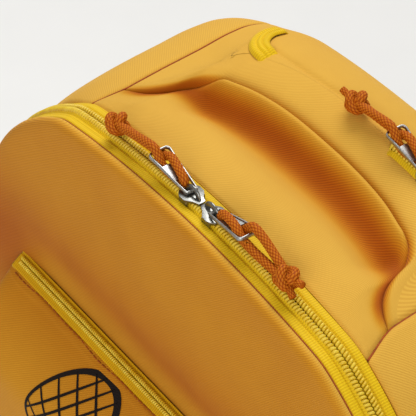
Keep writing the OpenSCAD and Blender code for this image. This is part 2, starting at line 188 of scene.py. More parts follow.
def cells(n, m, wrap_n=False, wrap_m=False):
    """Corner numbers of the quads of an n by m grid, and the same corners on the unwrapped grid"""
    i, j = np.meshgrid(np.arange(n if wrap_n else n - 1), np.arange(m if wrap_m else m - 1), indexing="ij")
    i, j = i.ravel(), j.ravel()
    a = np.stack([i, i + 1, i + 1, i], 1)
    b = np.stack([j, j, j + 1, j + 1], 1)
    return (a % n) * m + b % m, a, b


def tidy(obj, distance=0.02):
    """Merges doubled points, drops empty faces and turns the faces of a closed shape outwards"""
    bm = bmesh.new()
    bm.from_mesh(obj.data)
    bmesh.ops.remove_doubles(bm, verts=bm.verts, dist=distance * MM)
    bmesh.ops.dissolve_degenerate(bm, edges=bm.edges, dist=0.001 * MM)
    bmesh.ops.recalc_face_normals(bm, faces=bm.faces)
    bm.to_mesh(obj.data)
    bm.free()
    return obj


def grid_object(name, points, wrap_n=False, wrap_m=False, towards=None):
    """Grid of points (n, m, 3) as an object, whose UV is the running length along each way, in metres.

    towards is a point inside the body that the faces turn away from.
    """
    quads, a, b = cells(*points.shape[:2], wrap_n, wrap_m)
    du = np.linalg.norm(np.diff(points, axis=0, append=points[:1]), axis=2).mean(1)
    dv = np.linalg.norm(np.diff(points, axis=1, append=points[:, :1]), axis=2).mean(0)
    uu, vv = (np.concatenate([[0], np.cumsum(d)]) for d in (du, dv))
    corner = np.stack([uu[a], vv[b]], 2) * MM
    if towards is not None:
        p = points.reshape(-1, 3)[quads]
        normal = np.cross(p[:, 2] - p[:, 0], p[:, 3] - p[:, 1])
        if np.sum(normal * (p.mean(1) - np.asarray(towards, float))) < 0:
            quads, corner = quads[:, ::-1], corner[:, ::-1]
    return new_object(name, points.reshape(-1, 3), quads, corner)


def thicken(obj, depth):
    """Gives a sheet its thickness, inwards from its outer face"""
    mod = obj.modifiers.new("cloth thickness", "SOLIDIFY")
    mod.thickness, mod.offset, mod.use_even_offset, mod.use_rim = depth * MM, -1.0, False, True


def finished(obj, material, body="bag", nodes=()):
    """Material, body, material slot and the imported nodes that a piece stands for"""
    obj.data.materials.append(material)
    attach(obj, body)
    if nodes:
        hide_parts(*nodes)
    return obj


def places(obj):
    """The mesh's own points (n, 3), in metres"""
    co = np.empty(len(obj.data.vertices) * 3)
    obj.data.vertices.foreach_get("co", co)
    return co.reshape(-1, 3)


def folded(obj, value):
    """Writes painted shade and bounce light per point, 0 to 1, as the fold attribute, from its place in
    millimetres behind the zip
    """
    x, y, z = (places(obj) / MM).T
    obj.data.attributes.new("fold", "FLOAT", "POINT").data.foreach_set("value", value(x, y - ZIP_Y, z))


def cloth_sheet(name, points, material, nodes, towards, thickness=None):
    """A grid of cloth with its thickness, its material and the imported nodes it stands for"""
    obj = grid_object(name, points, towards=towards)
    thicken(obj, thickness or bpy.context.scene.bag_sizes.cloth / MM)
    finished(obj, material, nodes=nodes)
    return obj


def panel_skin(name, points, facing, nodes):
    """A closed panel of rings round its middle, its UV in metres across and up, facing along Y"""
    n, m = points.shape[:2]
    quads, a, b = cells(n, m, wrap_n=True)
    uv = np.stack([points[..., 0], points[..., 2]], 2)[a % n, b] * MM
    obj = tidy(new_object(name, points.reshape(-1, 3), quads, uv), 0.01)
    mesh = obj.data
    normals, areas = np.empty(len(mesh.polygons) * 3), np.empty(len(mesh.polygons))
    mesh.polygons.foreach_get("normal", normals)
    mesh.polygons.foreach_get("area", areas)
    if facing * (normals[1::3] * areas).sum() < 0:
        mesh.flip_normals()
    thicken(obj, 1.5)
    finished(obj, MATERIALS["fabric"], nodes=nodes)
    return obj


def gathered(rim, rows, power, low, high):
    """Rows that run straight from a rim's last ring to a spine at x = 0 between two heights"""
    t = (np.linspace(0, 1, rows + 1)[1:] ** power)[None, :, None]
    spine = np.stack([0 * rim[:, -1, 0], rim[:, -1, 1], np.clip(rim[:, -1, 2], low, high)], 1)
    return np.concatenate([rim, rim[:, -1:] * (1 - t) + spine[:, None] * t], 1)


def round_the_body(count):
    """Arc lengths all the way round the outline, each half closer together at its ends"""
    return np.concatenate([spaced(0, S_END, count, 0.2)[:-1], -spaced(0, S_END, count, 0.2)[:0:-1]])


def carried(path, profile, closed=False, up=(0, 0, 1)):
    """Profile (k, 2) carried along a path (n, 3): across it and along its normal, square to its heading.

    The side is the heading crossed with up, and the normal is the side crossed with the heading. up is
    one vector, or one for each point.
    """
    t = unit(np.roll(path, -1, 0) - np.roll(path, 1, 0) if closed else np.gradient(path, axis=0))
    side = unit(np.cross(t, np.broadcast_to(np.asarray(up, float), t.shape)))
    normal = np.cross(side, t)
    return path[:, None] + profile[..., 0:1] * side[:, None] + profile[..., 1:2] * normal[:, None]


def rounded(w, t, n=24, power=4.0):
    """Closed profile w wide and t thick: a superellipse |x|^p + |y|^p = 1"""
    a = np.linspace(0, 2 * math.pi, n, endpoint=False)
    return np.stack([np.sign(f) * np.abs(f) ** (2 / power) * size / 2
                     for f, size in ((np.cos(a), w), (np.sin(a), t))], 1)


def solid_strip(name, path, w, t, closed=False, up=(0, 0, 1), n=24, power=4.0):
    """Closed strap or bar: a rounded profile carried along a path, with its ends drawn in and shut"""
    rings = carried(path, rounded(w, t, n, power), closed, up)
    if not closed:
        ends = [path[:1] + (rings[k] - path[k]) * f for k, f in ((0, 0.0), (0, 0.85))]
        tails = [path[-1:] + (rings[-1] - path[-1]) * f for f in (0.85, 0.0)]
        rings = np.concatenate([np.stack(ends), rings, np.stack(tails)])
    obj = grid_object(name, rings, wrap_n=closed, wrap_m=True)
    return tidy(obj, 0.004)


def smooth_path(points, n):
    """n points on a smooth curve through the given ones (uniform Catmull-Rom)"""
    p = np.asarray(points, float)
    p = np.concatenate([2 * p[:1] - p[1:2], p, 2 * p[-1:] - p[-2:-1]])
    t = np.linspace(0, len(p) - 3 - 1e-9, n)
    i = t.astype(int)
    u = (t - i)[:, None]
    a, b, c, d = p[i], p[i + 1], p[i + 2], p[i + 3]
    return 0.5 * (2 * b + (c - a) * u + (2 * a - 5 * b + 4 * c - d) * u ** 2
                  + (3 * b - a - 3 * c + d) * u ** 3)


def even(path, step):
    """The same path with points a step apart"""
    length = np.concatenate([[0], np.cumsum(np.linalg.norm(np.diff(path, axis=0), axis=1))])
    t = np.linspace(0, length[-1], max(4, int(length[-1] / step) + 1))
    return np.stack([np.interp(t, length, path[:, k]) for k in range(3)], 1), length[-1]


def joined(name, parts):
    """Several objects as one mesh object"""
    bpy.ops.object.select_all(action="DESELECT")
    for p in parts:
        p.select_set(True)
    bpy.context.view_layer.objects.active = parts[0]
    bpy.ops.object.join()
    parts[0].name = parts[0].data.name = name
    return parts[0]


def bevelled(obj, width):
    """Eases edges sharper than 40 degrees"""
    mod = obj.modifiers.new("eased edges", "BEVEL")
    mod.width, mod.segments, mod.limit_method, mod.angle_limit = width * MM, 2, "ANGLE", math.radians(40)
    return obj


def plate(name, shape, low, high):
    """Flat shape given as corners in order, made solid from low to high"""
    n = len(shape)
    mesh = bpy.data.meshes.new(name)
    faces = [list(range(n))[::-1], list(range(n, 2 * n))]
    faces += [[i, (i + 1) % n, n + (i + 1) % n, n + i] for i in range(n)]
    mesh.from_pydata([(x * MM, y * MM, z * MM) for z in (low, high) for x, y in shape], [], faces)
    obj = bpy.data.objects.new(name, mesh)
    bpy.context.scene.collection.objects.link(obj)
    return obj


def placed(obj, matrix):
    """Puts a piece's place into its mesh"""
    m = Matrix(matrix)
    m.translation *= MM
    obj.data.transform(m)
    return obj


# ---------------------------------------------------------------- materials

def add(tree, kind, where=None, links=(), **settings):
    """Adds a node: settings are its properties, where the sockets' values, links (socket, source socket)"""
    node = tree.nodes.new(kind)
    for key, value in settings.items():
        setattr(node, key, value)
    for key, value in (where or {}).items():
        node.inputs[key].default_value = value
    for key, source in links:
        tree.links.new(source, node.inputs[key])
    return node


def two_tones(tree, source, low, first, high, second):
    """Colour ramp from one colour at low to another at high"""
    ramp = add(tree, "ShaderNodeValToRGB", {}, [("Fac", source)])
    ends = ramp.color_ramp.elements
    ends[0].position, ends[0].color = low, linear(first)
    ends[1].position, ends[1].color = high, linear(second)
    return ramp


def closed_off(mat, shader, colour, height, strength, depth):
    """Links the colour and a bump of a depth in millimetres to the shader"""
    tree = mat.node_tree
    bump = add(tree, "ShaderNodeBump", {"Strength": strength, "Distance": depth * MM}, [("Height", height)])
    tree.links.new(colour.outputs[0], shader.inputs["Base Color"])
    tree.links.new(bump.outputs[0], shader.inputs["Normal"])
    return mat


def surface(name, **values):
    """New material with its shader's own sockets set"""
    mat = bpy.data.materials.new(name)
    mat.use_nodes = True
    shader = mat.node_tree.nodes["Principled BSDF"]
    for key, value in values.items():
        shader.inputs[key.replace("_", " ")].default_value = value
    return mat, mat.node_tree, shader


def ribs(tree, vector, pitch, turn, distort=0.0):
    """Bands a pitch apart (in metres), turned by an angle: the wave node repeats every 0.314 / scale"""
    m = add(tree, "ShaderNodeMapping", {"Rotation": (0, 0, math.radians(turn))}, [("Vector", vector)])
    return add(tree, "ShaderNodeTexWave", {"Scale": 0.31416 / pitch, "Distortion": distort, "Detail": 1.0},
               [("Vector", m.outputs[0])])


def woven(name, colour, shade, pitch, turn, height, rough=0.78, sheen=0.12, cross=None, variation=0.5,
          source="UV"):
    """Cloth of ribs and cross threads: both make the bump, soft noise shifts the colour a little, and the fold
    attribute darkens it as painted shade
    """
    mat, tree, shader = surface(name, Roughness=rough, Sheen_Weight=sheen, Sheen_Roughness=0.45,
                                Specular_IOR_Level=0.16)
    co = add(tree, "ShaderNodeTexCoord").outputs[source]
    rib, over = ribs(tree, co, pitch, turn, 0.6), ribs(tree, co, cross or pitch * 0.62, turn + 90, 0.4)
    mixed = add(tree, "ShaderNodeMath", {1: 0.35}, [(0, over.outputs["Fac"])], operation="MULTIPLY")
    weave = add(tree, "ShaderNodeMath", {}, [(0, rib.outputs["Fac"]), (1, mixed.outputs[0])], operation="ADD")
    cloud = add(tree, "ShaderNodeTexNoise", {"Scale": 22.0, "Detail": 5.0, "Roughness": 0.6}, [("Vector", co)])
    tone = add(tree, "ShaderNodeMath", {1: variation}, [(0, cloud.outputs["Fac"])], operation="MULTIPLY")
    both = add(tree, "ShaderNodeMath", {1: 0.42, 2: 0.0},
               [(0, weave.outputs[0]), (2, tone.outputs[0])], operation="MULTIPLY_ADD")
    ramp = two_tones(tree, both.outputs[0], 0.15, shade, 0.72, colour)
    # Painted shade and bounce light: the fold attribute, 0 to 1, raises the colour to a power from 1 to 3, so
    # folds turn darker and deeper in colour, as light bounced between the faces would make them
    fold = add(tree, "ShaderNodeAttribute", attribute_name="fold").outputs["Fac"]
    power = add(tree, "ShaderNodeMath", {1: 2.0, 2: 1.0}, [(0, fold)], operation="MULTIPLY_ADD")
    fold_shaded_colour = add(tree, "ShaderNodeGamma", {}, [("Color", ramp.outputs[0]), ("Gamma", power.outputs[0])])
    return closed_off(mat, shader, fold_shaded_colour, weave.outputs[0], 0.55, height)


def speckled(name, colour, second, grain, rough, height=0.03, metal=0.0, **more):
    """Moulded, plated or printed surface: noise of a grain size shifts colour, roughness and bump"""
    mat, tree, shader = surface(name, Metallic=metal, Roughness=rough, **more)
    co = add(tree, "ShaderNodeTexCoord").outputs["Object"]
    noise = add(tree, "ShaderNodeTexNoise", {"Scale": 1.0 / (grain * MM), "Detail": 4.0}, [("Vector", co)])
    ramp = two_tones(tree, noise.outputs["Fac"], 0.35, second, 0.65, colour)
    spread = add(tree, "ShaderNodeMapRange", {"To Min": rough * 0.8, "To Max": min(1.0, rough * 1.25)},
                 [("Value", noise.outputs["Fac"])])
    tree.links.new(spread.outputs[0], shader.inputs["Roughness"])
    return closed_off(mat, shader, ramp, noise.outputs["Fac"], 0.4, height)


MATERIALS = {}


def make_materials():
    """Every finish of the bag, once"""
    c, pitch = bpy.context.scene.bag_colours, bpy.context.scene.bag_sizes.twill
    MATERIALS.update(
        # Polyester twill with a coating behind: matt, fine slanting ribs, a faint sheen at grazing angles.
        # The real ribs are about 0.5 mm apart, drawn coarser so that they show.
        fabric=woven("polyester twill", c.fabric, "#CC9636", pitch, 58, 0.1, 0.8, 0.03),
        # The same twill on padded pieces, whose weave follows the object's own coordinates.
        fabric_solid=woven("polyester twill on foam", c.fabric, "#CC9636", pitch, 58, 0.1, 0.8, 0.03,
                           source="Object"),
        # Woven polyester zip tape: smoother and brighter than the twill, with fine ribs across it.
        tape=woven("woven zip tape", c.tape, "#D3A70A", 0.0011, 0, 0.16, 0.62, 0.03, 0.0019, 0.35),
        # Drawn nylon coil: a little gloss on each turn.
        coil=speckled("drawn nylon coil", "#EACB3C", "#DDB51C", 4, 0.38, 0.01, Specular_IOR_Level=0.5),
        # Zinc, die-cast, tumbled and nickel plated: bright grey, soft highlights, faint dents.
        nickel=speckled("nickel-plated die-cast zinc", "#94948F", "#7F807D", 2.4, 0.3, 0.02, 1.0),
        # Satin face of a pull, stamped and tumbled: the same plate with a wider highlight.
        satin=speckled("tumbled nickel plate", "#B6B6B2", "#A0A19F", 1.2, 0.36, 0.03, 1.0),
        # Braided polyester cord: each pearl is modelled, fine threads run over it, and its grooves are painted
        # dark and its crowns painted light.
        cord=braided("braided polyester cord", c.cord, "#662600"),
        # Woven nylon webbing: thick ribs 2 mm apart, a soft gloss.
        webbing=woven("woven nylon webbing", c.webbing, "#A9690F", 0.002, 90, 0.35, 0.6, 0.15, 0.0014),
        # Spacer mesh on the back pads: small round cells 3 mm apart.
        spacer=spacer_mesh("knitted spacer mesh", "#DE9A20", "#8F5A0C", 3.0),
        # Injection-moulded acetal: dark, fine spark-eroded grain.
        plastic=speckled("moulded acetal", "#3B3A36", "#2E2D2A", 0.7, 0.45, 0.04),
        # Ink printed over the twill: near black, matt, the ribs still show.
        ink=woven("screen-printed ink", c.ink, "#120C0A", pitch, 58, 0.2, 0.7, 0.02),
        # Lining of plain-woven polyester taffeta.
        lining=woven("polyester taffeta", "#D99A2B", "#C2841D", 0.0012, 45, 0.08, 0.55, 0.1, source="Object"),
        # Knitted tricot mesh.
        mesh=spacer_mesh("knitted tricot mesh", "#45443F", "#1E1D1B", 2.2),
        # Extruded polypropylene board.
        board=speckled("extruded polypropylene board", "#E8E6DF", "#D5D2C8", 1.5, 0.5, 0.05),
        # Thread of the sewn lines.
        thread=woven("twisted polyester thread", "#C9660F", "#9A4808", 0.0008, 40, 0.1, 0.6, 0.1),
        # Dark line where two panels are sewn face to face.
        seam=speckled("folded seam edge", "#A84A08", "#8C3A05", 2, 0.85, 0.05),
    )


def braided(name, colour, deep):
    """Braided cord: the piece's own pearl height drives painted shade and highlight, the grooves painted dark
    and the crowns painted light
    """
    mat, tree, shader = surface(name, Roughness=0.62, Specular_IOR_Level=0.1)
    pearl = add(tree, "ShaderNodeAttribute", attribute_name="pearl").outputs["Fac"]
    co = add(tree, "ShaderNodeTexCoord").outputs["Object"]
    fibre = add(tree, "ShaderNodeTexNoise", {"Scale": 2600.0, "Detail": 3.0}, [("Vector", co)])
    mixed = add(tree, "ShaderNodeMath", {1: 0.3}, [(0, fibre.outputs["Fac"]), (2, pearl)],
                operation="MULTIPLY_ADD")
    # Painted shade in the grooves (the deep colour) and a painted highlight on the crowns (#C8741A)
    ramp = two_tones(tree, mixed.outputs[0], 0.15, deep, 1.0, "#C8741A")
    ramp.color_ramp.elements.new(0.6).color = linear(colour)
    return closed_off(mat, shader, ramp, fibre.outputs["Fac"], 0.3, 0.05)


def spacer_mesh(name, colour, deep, cell):
    """Knitted mesh: round cells a given distance apart, lower in the middle, and darkened there as painted
    shade in each cell's hollow
    """
    mat, tree, shader = surface(name, Roughness=0.8, Sheen_Weight=0.12)
    co = add(tree, "ShaderNodeTexCoord").outputs["Object"]
    cellular = add(tree, "ShaderNodeTexVoronoi", {"Scale": 1.0 / (cell * MM), "Randomness": 0.15},
                   [("Vector", co)])
    ramp = two_tones(tree, cellular.outputs["Distance"], 0.12, deep, 0.42, colour)
    return closed_off(mat, shader, ramp, cellular.outputs["Distance"], 0.8, 0.6)


# ---------------------------------------------------------------- shape of the top

def crease(x):
    """Depth behind the zip at which the front and rear panels meet, for a place x across the top"""
    return through_points(-np.abs(x), [(-96, 20), (-89, 22), (-82, 25), (-76, 30.5), (-72, 38), (-70, 45),
                                       (-65, 51), (-53, 55), (-40, 58), (-10, 60), (0, 60)])


def seam_height(y):
    """Height above the outline along the seam between the top panels and the sides"""
    return through_points(y, [(TAPE_EDGE, 0.4), (22, 2.2), (40, 4), (62, 5.5), (78, 7.0), (88, 6.4),
                              (100, 1.4), (110, -8.5), (118, -19), (BACK, -32)])


def rear_height(y):
    """Height above the outline along the middle of the rear top panel"""
    return through_points(y, [(60, 6), (68, 9.4), (78, 11.4), (88, 11.2), (100, 6.6), (110, -3), (118, -15),
                              (BACK, -32)])


def middle(x):
    """1 in the middle of the top, where the rim stands up, and 0 towards the sides"""
    return 1 - smooth(np.abs(x), 56, 75)


def seam_at(y):
    """Arc length of the seam beside the top panels at depth y: it spreads outwards near the tape"""
    return S_SEAM + 6.5 * (1 - smooth(y, 2, 26))


def inner(x):
    """1 over the top panels, falling to 0 at the seams"""
    return smooth((S_SEAM - np.abs(x)) / 30.0)


def pinch(d, depth=1.5, reach=1.1):
    """Groove of a sewn edge at distance d from it"""
    return -depth * np.exp(-(d / reach) ** 2)


def trough(x, y, z):
    """Painted shade on the front top panel, 0 to 0.8: in the fold before the rim and under the rear panel's lip
    """
    d = (y - TAPE_EDGE) / (crease(x) + 1.5 - TAPE_EDGE) - 0.82
    inside, w = np.exp(-(d / np.where(d < 0, 0.14, 0.08)) ** 2), middle(x)
    return 0.8 * (inside * w + np.where(d < 0, inside, 1) * (1 - w)) * (1 - smooth(np.abs(x), 76, 92))


def painted_shade_under_lip(x, y, z):
    """Painted shade on the rear top panel, 0 to 0.7, along its front edge in the same fold"""
    return 0.7 * (1 - smooth(y - crease(x), -2, 4)) * (1 - smooth(np.abs(x), 76, 92))


def painted_shade_above_pocket(x, y, z):
    """Painted bounce light and shade on the front panel's face: 0.28 all over, strongest along the pocket's
    upper edge
    """
    return (0.28 + 0.4 * np.exp(-((z - POCKET_TOP) / 34.0) ** 2)) * smooth(-y, TAPE_EDGE + 1, TAPE_EDGE + 5)


def front_top_points():
    """Top panel of the front compartment: across the top, and from the tape to the crease.

    Its height is a dome, a trough and a rim in the middle, mixed with a dome that falls into the cavity
    under the rear panel's lip towards the sides, and it meets the seam's height at its edges.
    """
    s, v = np.meshgrid(spaced(-S_SEAM, S_SEAM, 260), spaced(0, 1, 120, 0.5), indexing="ij")
    x, z, _, _ = outline(s)
    y = TAPE_EDGE + v * (crease(x) + 1.5 - TAPE_EDGE)
    x, z, _, _ = outline(s * (1 + (seam_at(y) / S_SEAM - 1) * smooth(np.abs(s), S_SEAM - 40, S_SEAM)))
    rim = through_points(v, [(0, 0.8), (0.12, 2.6), (0.25, 3.4), (0.45, 0.8), (0.62, -4.6), (0.72, -6.6),
                             (0.82, -3.2), (0.885, 3.0), (0.93, 6.6), (0.955, 7.0), (0.98, 4.4), (1, -1)])
    cave = through_points(v, [(0, 0.8), (0.14, 3.0), (0.3, 4.4), (0.5, 3.8), (0.68, 2.2), (0.84, 0.2),
                              (1, -3.2)])
    w = middle(x)
    k = inner(s)
    h = (rim * w + cave * (1 - w)) * k + seam_height(y) * (1 - k) - (1 - k) * smooth(v, 0.8, 1.0) * 3
    h += 0.5 * np.sin(s / 17.0 + v * 3.1) * np.sin(v * 9.0) * k
    h -= 1.2 * np.exp(-((np.abs(x) - 68.5) / 6.5) ** 2) * smooth(v, 0.78, 0.97)
    h += pinch(S_SEAM - np.abs(s)) + pinch(y - TAPE_EDGE, 0.7, 0.8)
    return np.stack([x, ZIP_Y + y, z + h], 2)


def rear_top_points():
    """Top panel of the rear compartment, from the crease to the back edge.

    Towards the sides its front edge is a lip that starts low, bulges forwards over the cavity and turns
    back over the top; in the middle it starts behind the rim. Both then follow the rear height.
    """
    s, v = np.meshgrid(spaced(-S_SEAM, S_SEAM, 260), np.linspace(0, 1, 190) ** 1.25, indexing="ij")
    x, z, _, _ = outline(s)
    c, w, k = crease(x), middle(x), inner(s)
    u = v * 5
    # Depths and heights of the lip at the sides, then of the panel behind the rim, at the same seven places
    profiles = ((1.5, -1.8, -2.4, -0.8, 4, 10, 18), (-6, -2.4, 1.2, 3.4, 5.8, 7.6, 9.0),
                (0.6, 0.8, 1.4, 3.0, 6.0, 11, 18), (-4, -1.5, 1.8, 4.4, 7.0, 8.8, 9.8))
    ahead, lip, behind, ridge = (through_points(u, zip((0, 0.35, 0.7, 1.05, 1.6, 2.2, 2.8), values))
                                 for values in profiles)
    overhang = 1 + 0.5 * np.exp(-((np.abs(x) - 69) / 8) ** 2)
    d = behind * w + ahead * (1 - w) * (0.25 + 0.75 * k) * overhang + 0.6 * (1 - w) * (1 - k)
    low = ridge * w + lip * (1 - w)
    y = np.where(u < 2.8, c + d, c + 18 + (BACK - c - 18) * (u - 2.8) / 2.2)
    top = rear_height(np.maximum(y, 60)) * k + seam_height(y) * (1 - k)
    base = low * k + (seam_height(y) - (1 - smooth(u, 0, 1.2)) * 4) * (1 - k)
    mix = smooth(u, 1.4, 3.2)
    h = base * (1 - mix) + top * mix
    h += 0.7 * np.sin(s / 23.0 + 1.0) * np.sin(y / 11.0) * k * mix
    h += pinch(S_SEAM - np.abs(s)) + pinch(BACK - y, 1.2)
    line = smooth(x, -64, -56) * (1 - smooth(x, 20, 28))
    fold = 78.5 + 1.5 * smooth(x, -40, 10)
    h += (pinch(y - fold, 0.6, 0.8) * line
          + 0.6 * smooth(y, fold, fold + 3) * (1 - smooth(y, fold + 3, 96)) * line)
    return np.stack([x, ZIP_Y + y, z + h], 2)


def on_rear(x, y, lift=0.0):
    """Points on the rear top panel's far part: outline height plus the panel's own, lifted along Z"""
    s = np.where(np.abs(x) < BEND_X, CROWN_R * np.arcsin(np.clip(x / CROWN_R, -1, 1)), np.sign(x) * S_SEAM)
    _, z, _, _ = outline(s)
    k = inner(s)
    h = rear_height(np.maximum(y, 60)) * k + seam_height(y) * (1 - k)
    return np.stack([x, ZIP_Y + y, z + h + lift], -1)


def side_points(side):
    """Side sheet: from the seam over the shoulder and down to the tray, tape edge to back edge.

    The seam's height fades down the shoulder, the middle swells, and the back edge is drawn in.
    """
    s, v = np.meshgrid(spaced(S_SEAM, S_TRAY + 2, 240, 0.5), spaced(0, 1, 110, 0.5), indexing="ij")
    y = TAPE_EDGE + v * (BACK - TAPE_EDGE)
    x, z, nx, nz = outline(side * (s + (seam_at(y) - S_SEAM) * (1 - smooth(s, S_SEAM, S_SEAM + 60))))
    fade = 1 - smooth(s, S_SEAM, S_SHOULDER + 40)
    swell = ((6.6 - 4.6 * v) * np.clip(np.sin(math.pi * v), 0, 1) ** 0.45 * smooth(s, S_SEAM - 6, S_SEAM + 26)
             * (1 - 0.6 * smooth(s, S_SEAM + 60, S_SHOULDER + 60))
             + 2.2 * np.sin(math.pi * v) * smooth(s, S_SHOULDER, S_SHOULDER + 160))
    swell += 0.6 * np.sin(s / 31.0) * np.sin(v * 7.0) + pinch(s - S_SEAM, 1.5) + pinch(S_TRAY + 2 - s, 0.8)
    swell += pinch(y - TAPE_EDGE, 0.8, 0.9) + pinch(BACK - y, 1.2)
    inset = 9.0 * smooth(y, BACK - 30, BACK) ** 1.4 * (1 - fade)
    return np.stack([x + nx * (swell - inset), ZIP_Y + y, z + nz * swell + seam_height(y) * fade], 2)


def front_points():
    """Front panel: a rolled edge round the outline, then a swollen face down to a line in the middle.

    The first rows follow the outline moved inwards as a profile turns from the tape to the face. The
    others run straight from the last of them to a spine at x = 0.
    """
    s = round_the_body(340)
    roll = np.array([[0.2, -TAPE_EDGE], [-0.2, -TAPE_EDGE - 0.35], [0.9, -TAPE_EDGE - 0.9],
                     [1.5, -TAPE_EDGE - 1.9], [1.3, -TAPE_EDGE - 3.1], [0.5, -TAPE_EDGE - 4.3],
                     [-0.9, -TAPE_EDGE - 4.9], [-3.0, -TAPE_EDGE - 5.1], [-6.0, -TAPE_EDGE - 5.1],
                     [-10.0, -TAPE_EDGE - 5.1]])
    x, z, _, _ = outline(s[:, None], roll[None, :, 0])
    y = np.broadcast_to(roll[None, :, 1], x.shape)
    points = gathered(np.stack([x, ZIP_Y + y, z], 2), 60, 1.1, BASE_Z + 110, TOP_Z - 150)
    away = smooth(np.concatenate([np.zeros(len(roll)), np.linspace(0, 1, 61)[1:]]) / 0.35)[None, :]
    px, pz = points[..., 0], points[..., 2]
    swell = bpy.context.scene.bag_sizes.swell / MM
    # Swollen above the pocket, and held back where the pocket is sewn on and down behind it
    held = smooth(TOP_Z - pz, 70, 106)
    points[..., 1] += away * (held * 2.4 - (1 - held) * (swell * 0.3 + 0.6 * np.sin(px / 41.0 + 0.6)))
    return points


# ---------------------------------------------------------------- operators

class BAG_OT_skins(bpy.types.Operator):
    """Makes the top panels, the sides and the front of the body as sheets of twill, and their seams"""
    bl_idname = "bag.skins"
    bl_label = "Body skins"

    def execute(self, context):
        fabric = MATERIALS["fabric"]
        inside = (0, ZIP_Y + 60, TOP_Z - 300)
        # The fold attribute paints shade on the top panels: in the front panel's trough and under the rear
        # panel's lip
        folded(cloth_sheet("front_top_panel", front_top_points(), fabric, ["front_gusset_top"], inside), trough)
        rear = cloth_sheet("rear_top_panel", rear_top_points(), fabric, ["rear_gusset_top", "rear_lid"], inside)
        folded(rear, painted_shade_under_lip)
        for side, word in ((-1, "left"), (1, "right")):
            cloth_sheet("side_sheet_" + word, side_points(side), fabric,
                        ["front_gusset_" + word, "rear_gusset_" + word], inside)
        self.seams()
        # Painted shade and bounce light on the front panel, strongest above the pocket
        folded(panel_skin("front_panel_skin", front_points(), -1, ["front_panel"]), painted_shade_above_pocket)
        return {"FINISHED"}

    @staticmethod
    def seams():
        """Thin dark lines where panels are sewn face to face: round the front panel and beside the top"""
        s = np.linspace(-S_TRAY, S_TRAY, 900)
        x, z, _, _ = outline(s, 0.15)
        lines = [solid_strip("seam", np.stack([x, ZIP_Y - TAPE_EDGE - 0.35 + 0 * x, z], 1), 0.9, 0.7,
                             up=(0, 1, 0), n=8, power=2)]
        y = np.linspace(TAPE_EDGE + 0.5, BACK - 2, 200)
        for side in (-1, 1):
            x, z, _, _ = outline(side * seam_at(y))
            h = seam_height(y) - 0.9
            lines.append(solid_strip("seam", np.stack([x, ZIP_Y + y, z + h], 1), 0.8, 0.8, n=8, power=2))
        finished(joined("sewn_seam_lines", lines), MATERIALS["seam"])


class BAG_OT_stage(bpy.types.Operator):
    """Sets the floor, the lights and the camera"""
    bl_idname = "bag.stage"
    bl_label = "Stage"

    def execute(self, context):
        scene = context.scene
        floor = new_object("floor", np.array([[-6000, -6000, -0.5], [6000, -6000, -0.5], [6000, 6000, -0.5],
                                              [-6000, 6000, -0.5]]), [[0, 1, 2, 3]])
        floor.data.materials.append(speckled("matt paper floor", "#F6F6F4", "#F5F5F3", 60, 0.9, 0.01))
        world = bpy.data.worlds.new("studio")
        scene.world = world
        world.use_nodes = True
        world.node_tree.nodes["Background"].inputs["Color"].default_value = (1.0, 0.985, 0.96, 1)
        world.node_tree.nodes["Background"].inputs["Strength"].default_value = 0.42
        for name, place, size, power, aim in (
                ("overhead softbox", (-0.8, 0.75, 2.3), 1.2, 31, (0, -0.02, 0.72)),
                ("front fill", (1.5, -1.8, 1.6), 1.6, 30, (0, -0.05, 0.6)),
        ):
            data = bpy.data.lights.new(name, "AREA")
            data.size, data.energy = size, power
            lamp = bpy.data.objects.new(name, data)
            lamp.location = place
            lamp.rotation_euler = (Vector(place) - Vector(aim)).to_track_quat("Z", "Y").to_euler()
            scene.collection.objects.link(lamp)
        scene.view_settings.view_transform = "Standard"
        turn, tilt = math.radians(53.9), math.radians(42.5)
        back = Vector((math.sin(turn) * math.cos(tilt), -math.cos(turn) * math.cos(tilt), math.sin(tilt)))
        right = Vector((math.cos(turn), math.sin(turn), 0))
        up = back.cross(right)
        camera = bpy.data.objects.new("camera", bpy.data.cameras.new("camera"))
        camera.data.sensor_width, camera.data.lens = 36.0, 187.6
        aim = Vector((0, ZIP_Y * MM, (TOP_Z + 4) * MM)) + right * 0.00196 - up * 0.00196
        heading = Matrix((right, up, back)).transposed().to_4x4()
        camera.matrix_world = Matrix.Translation(aim + back * 0.85) @ heading
        scene.collection.objects.link(camera)
        scene.camera = camera
        return {"FINISHED"}


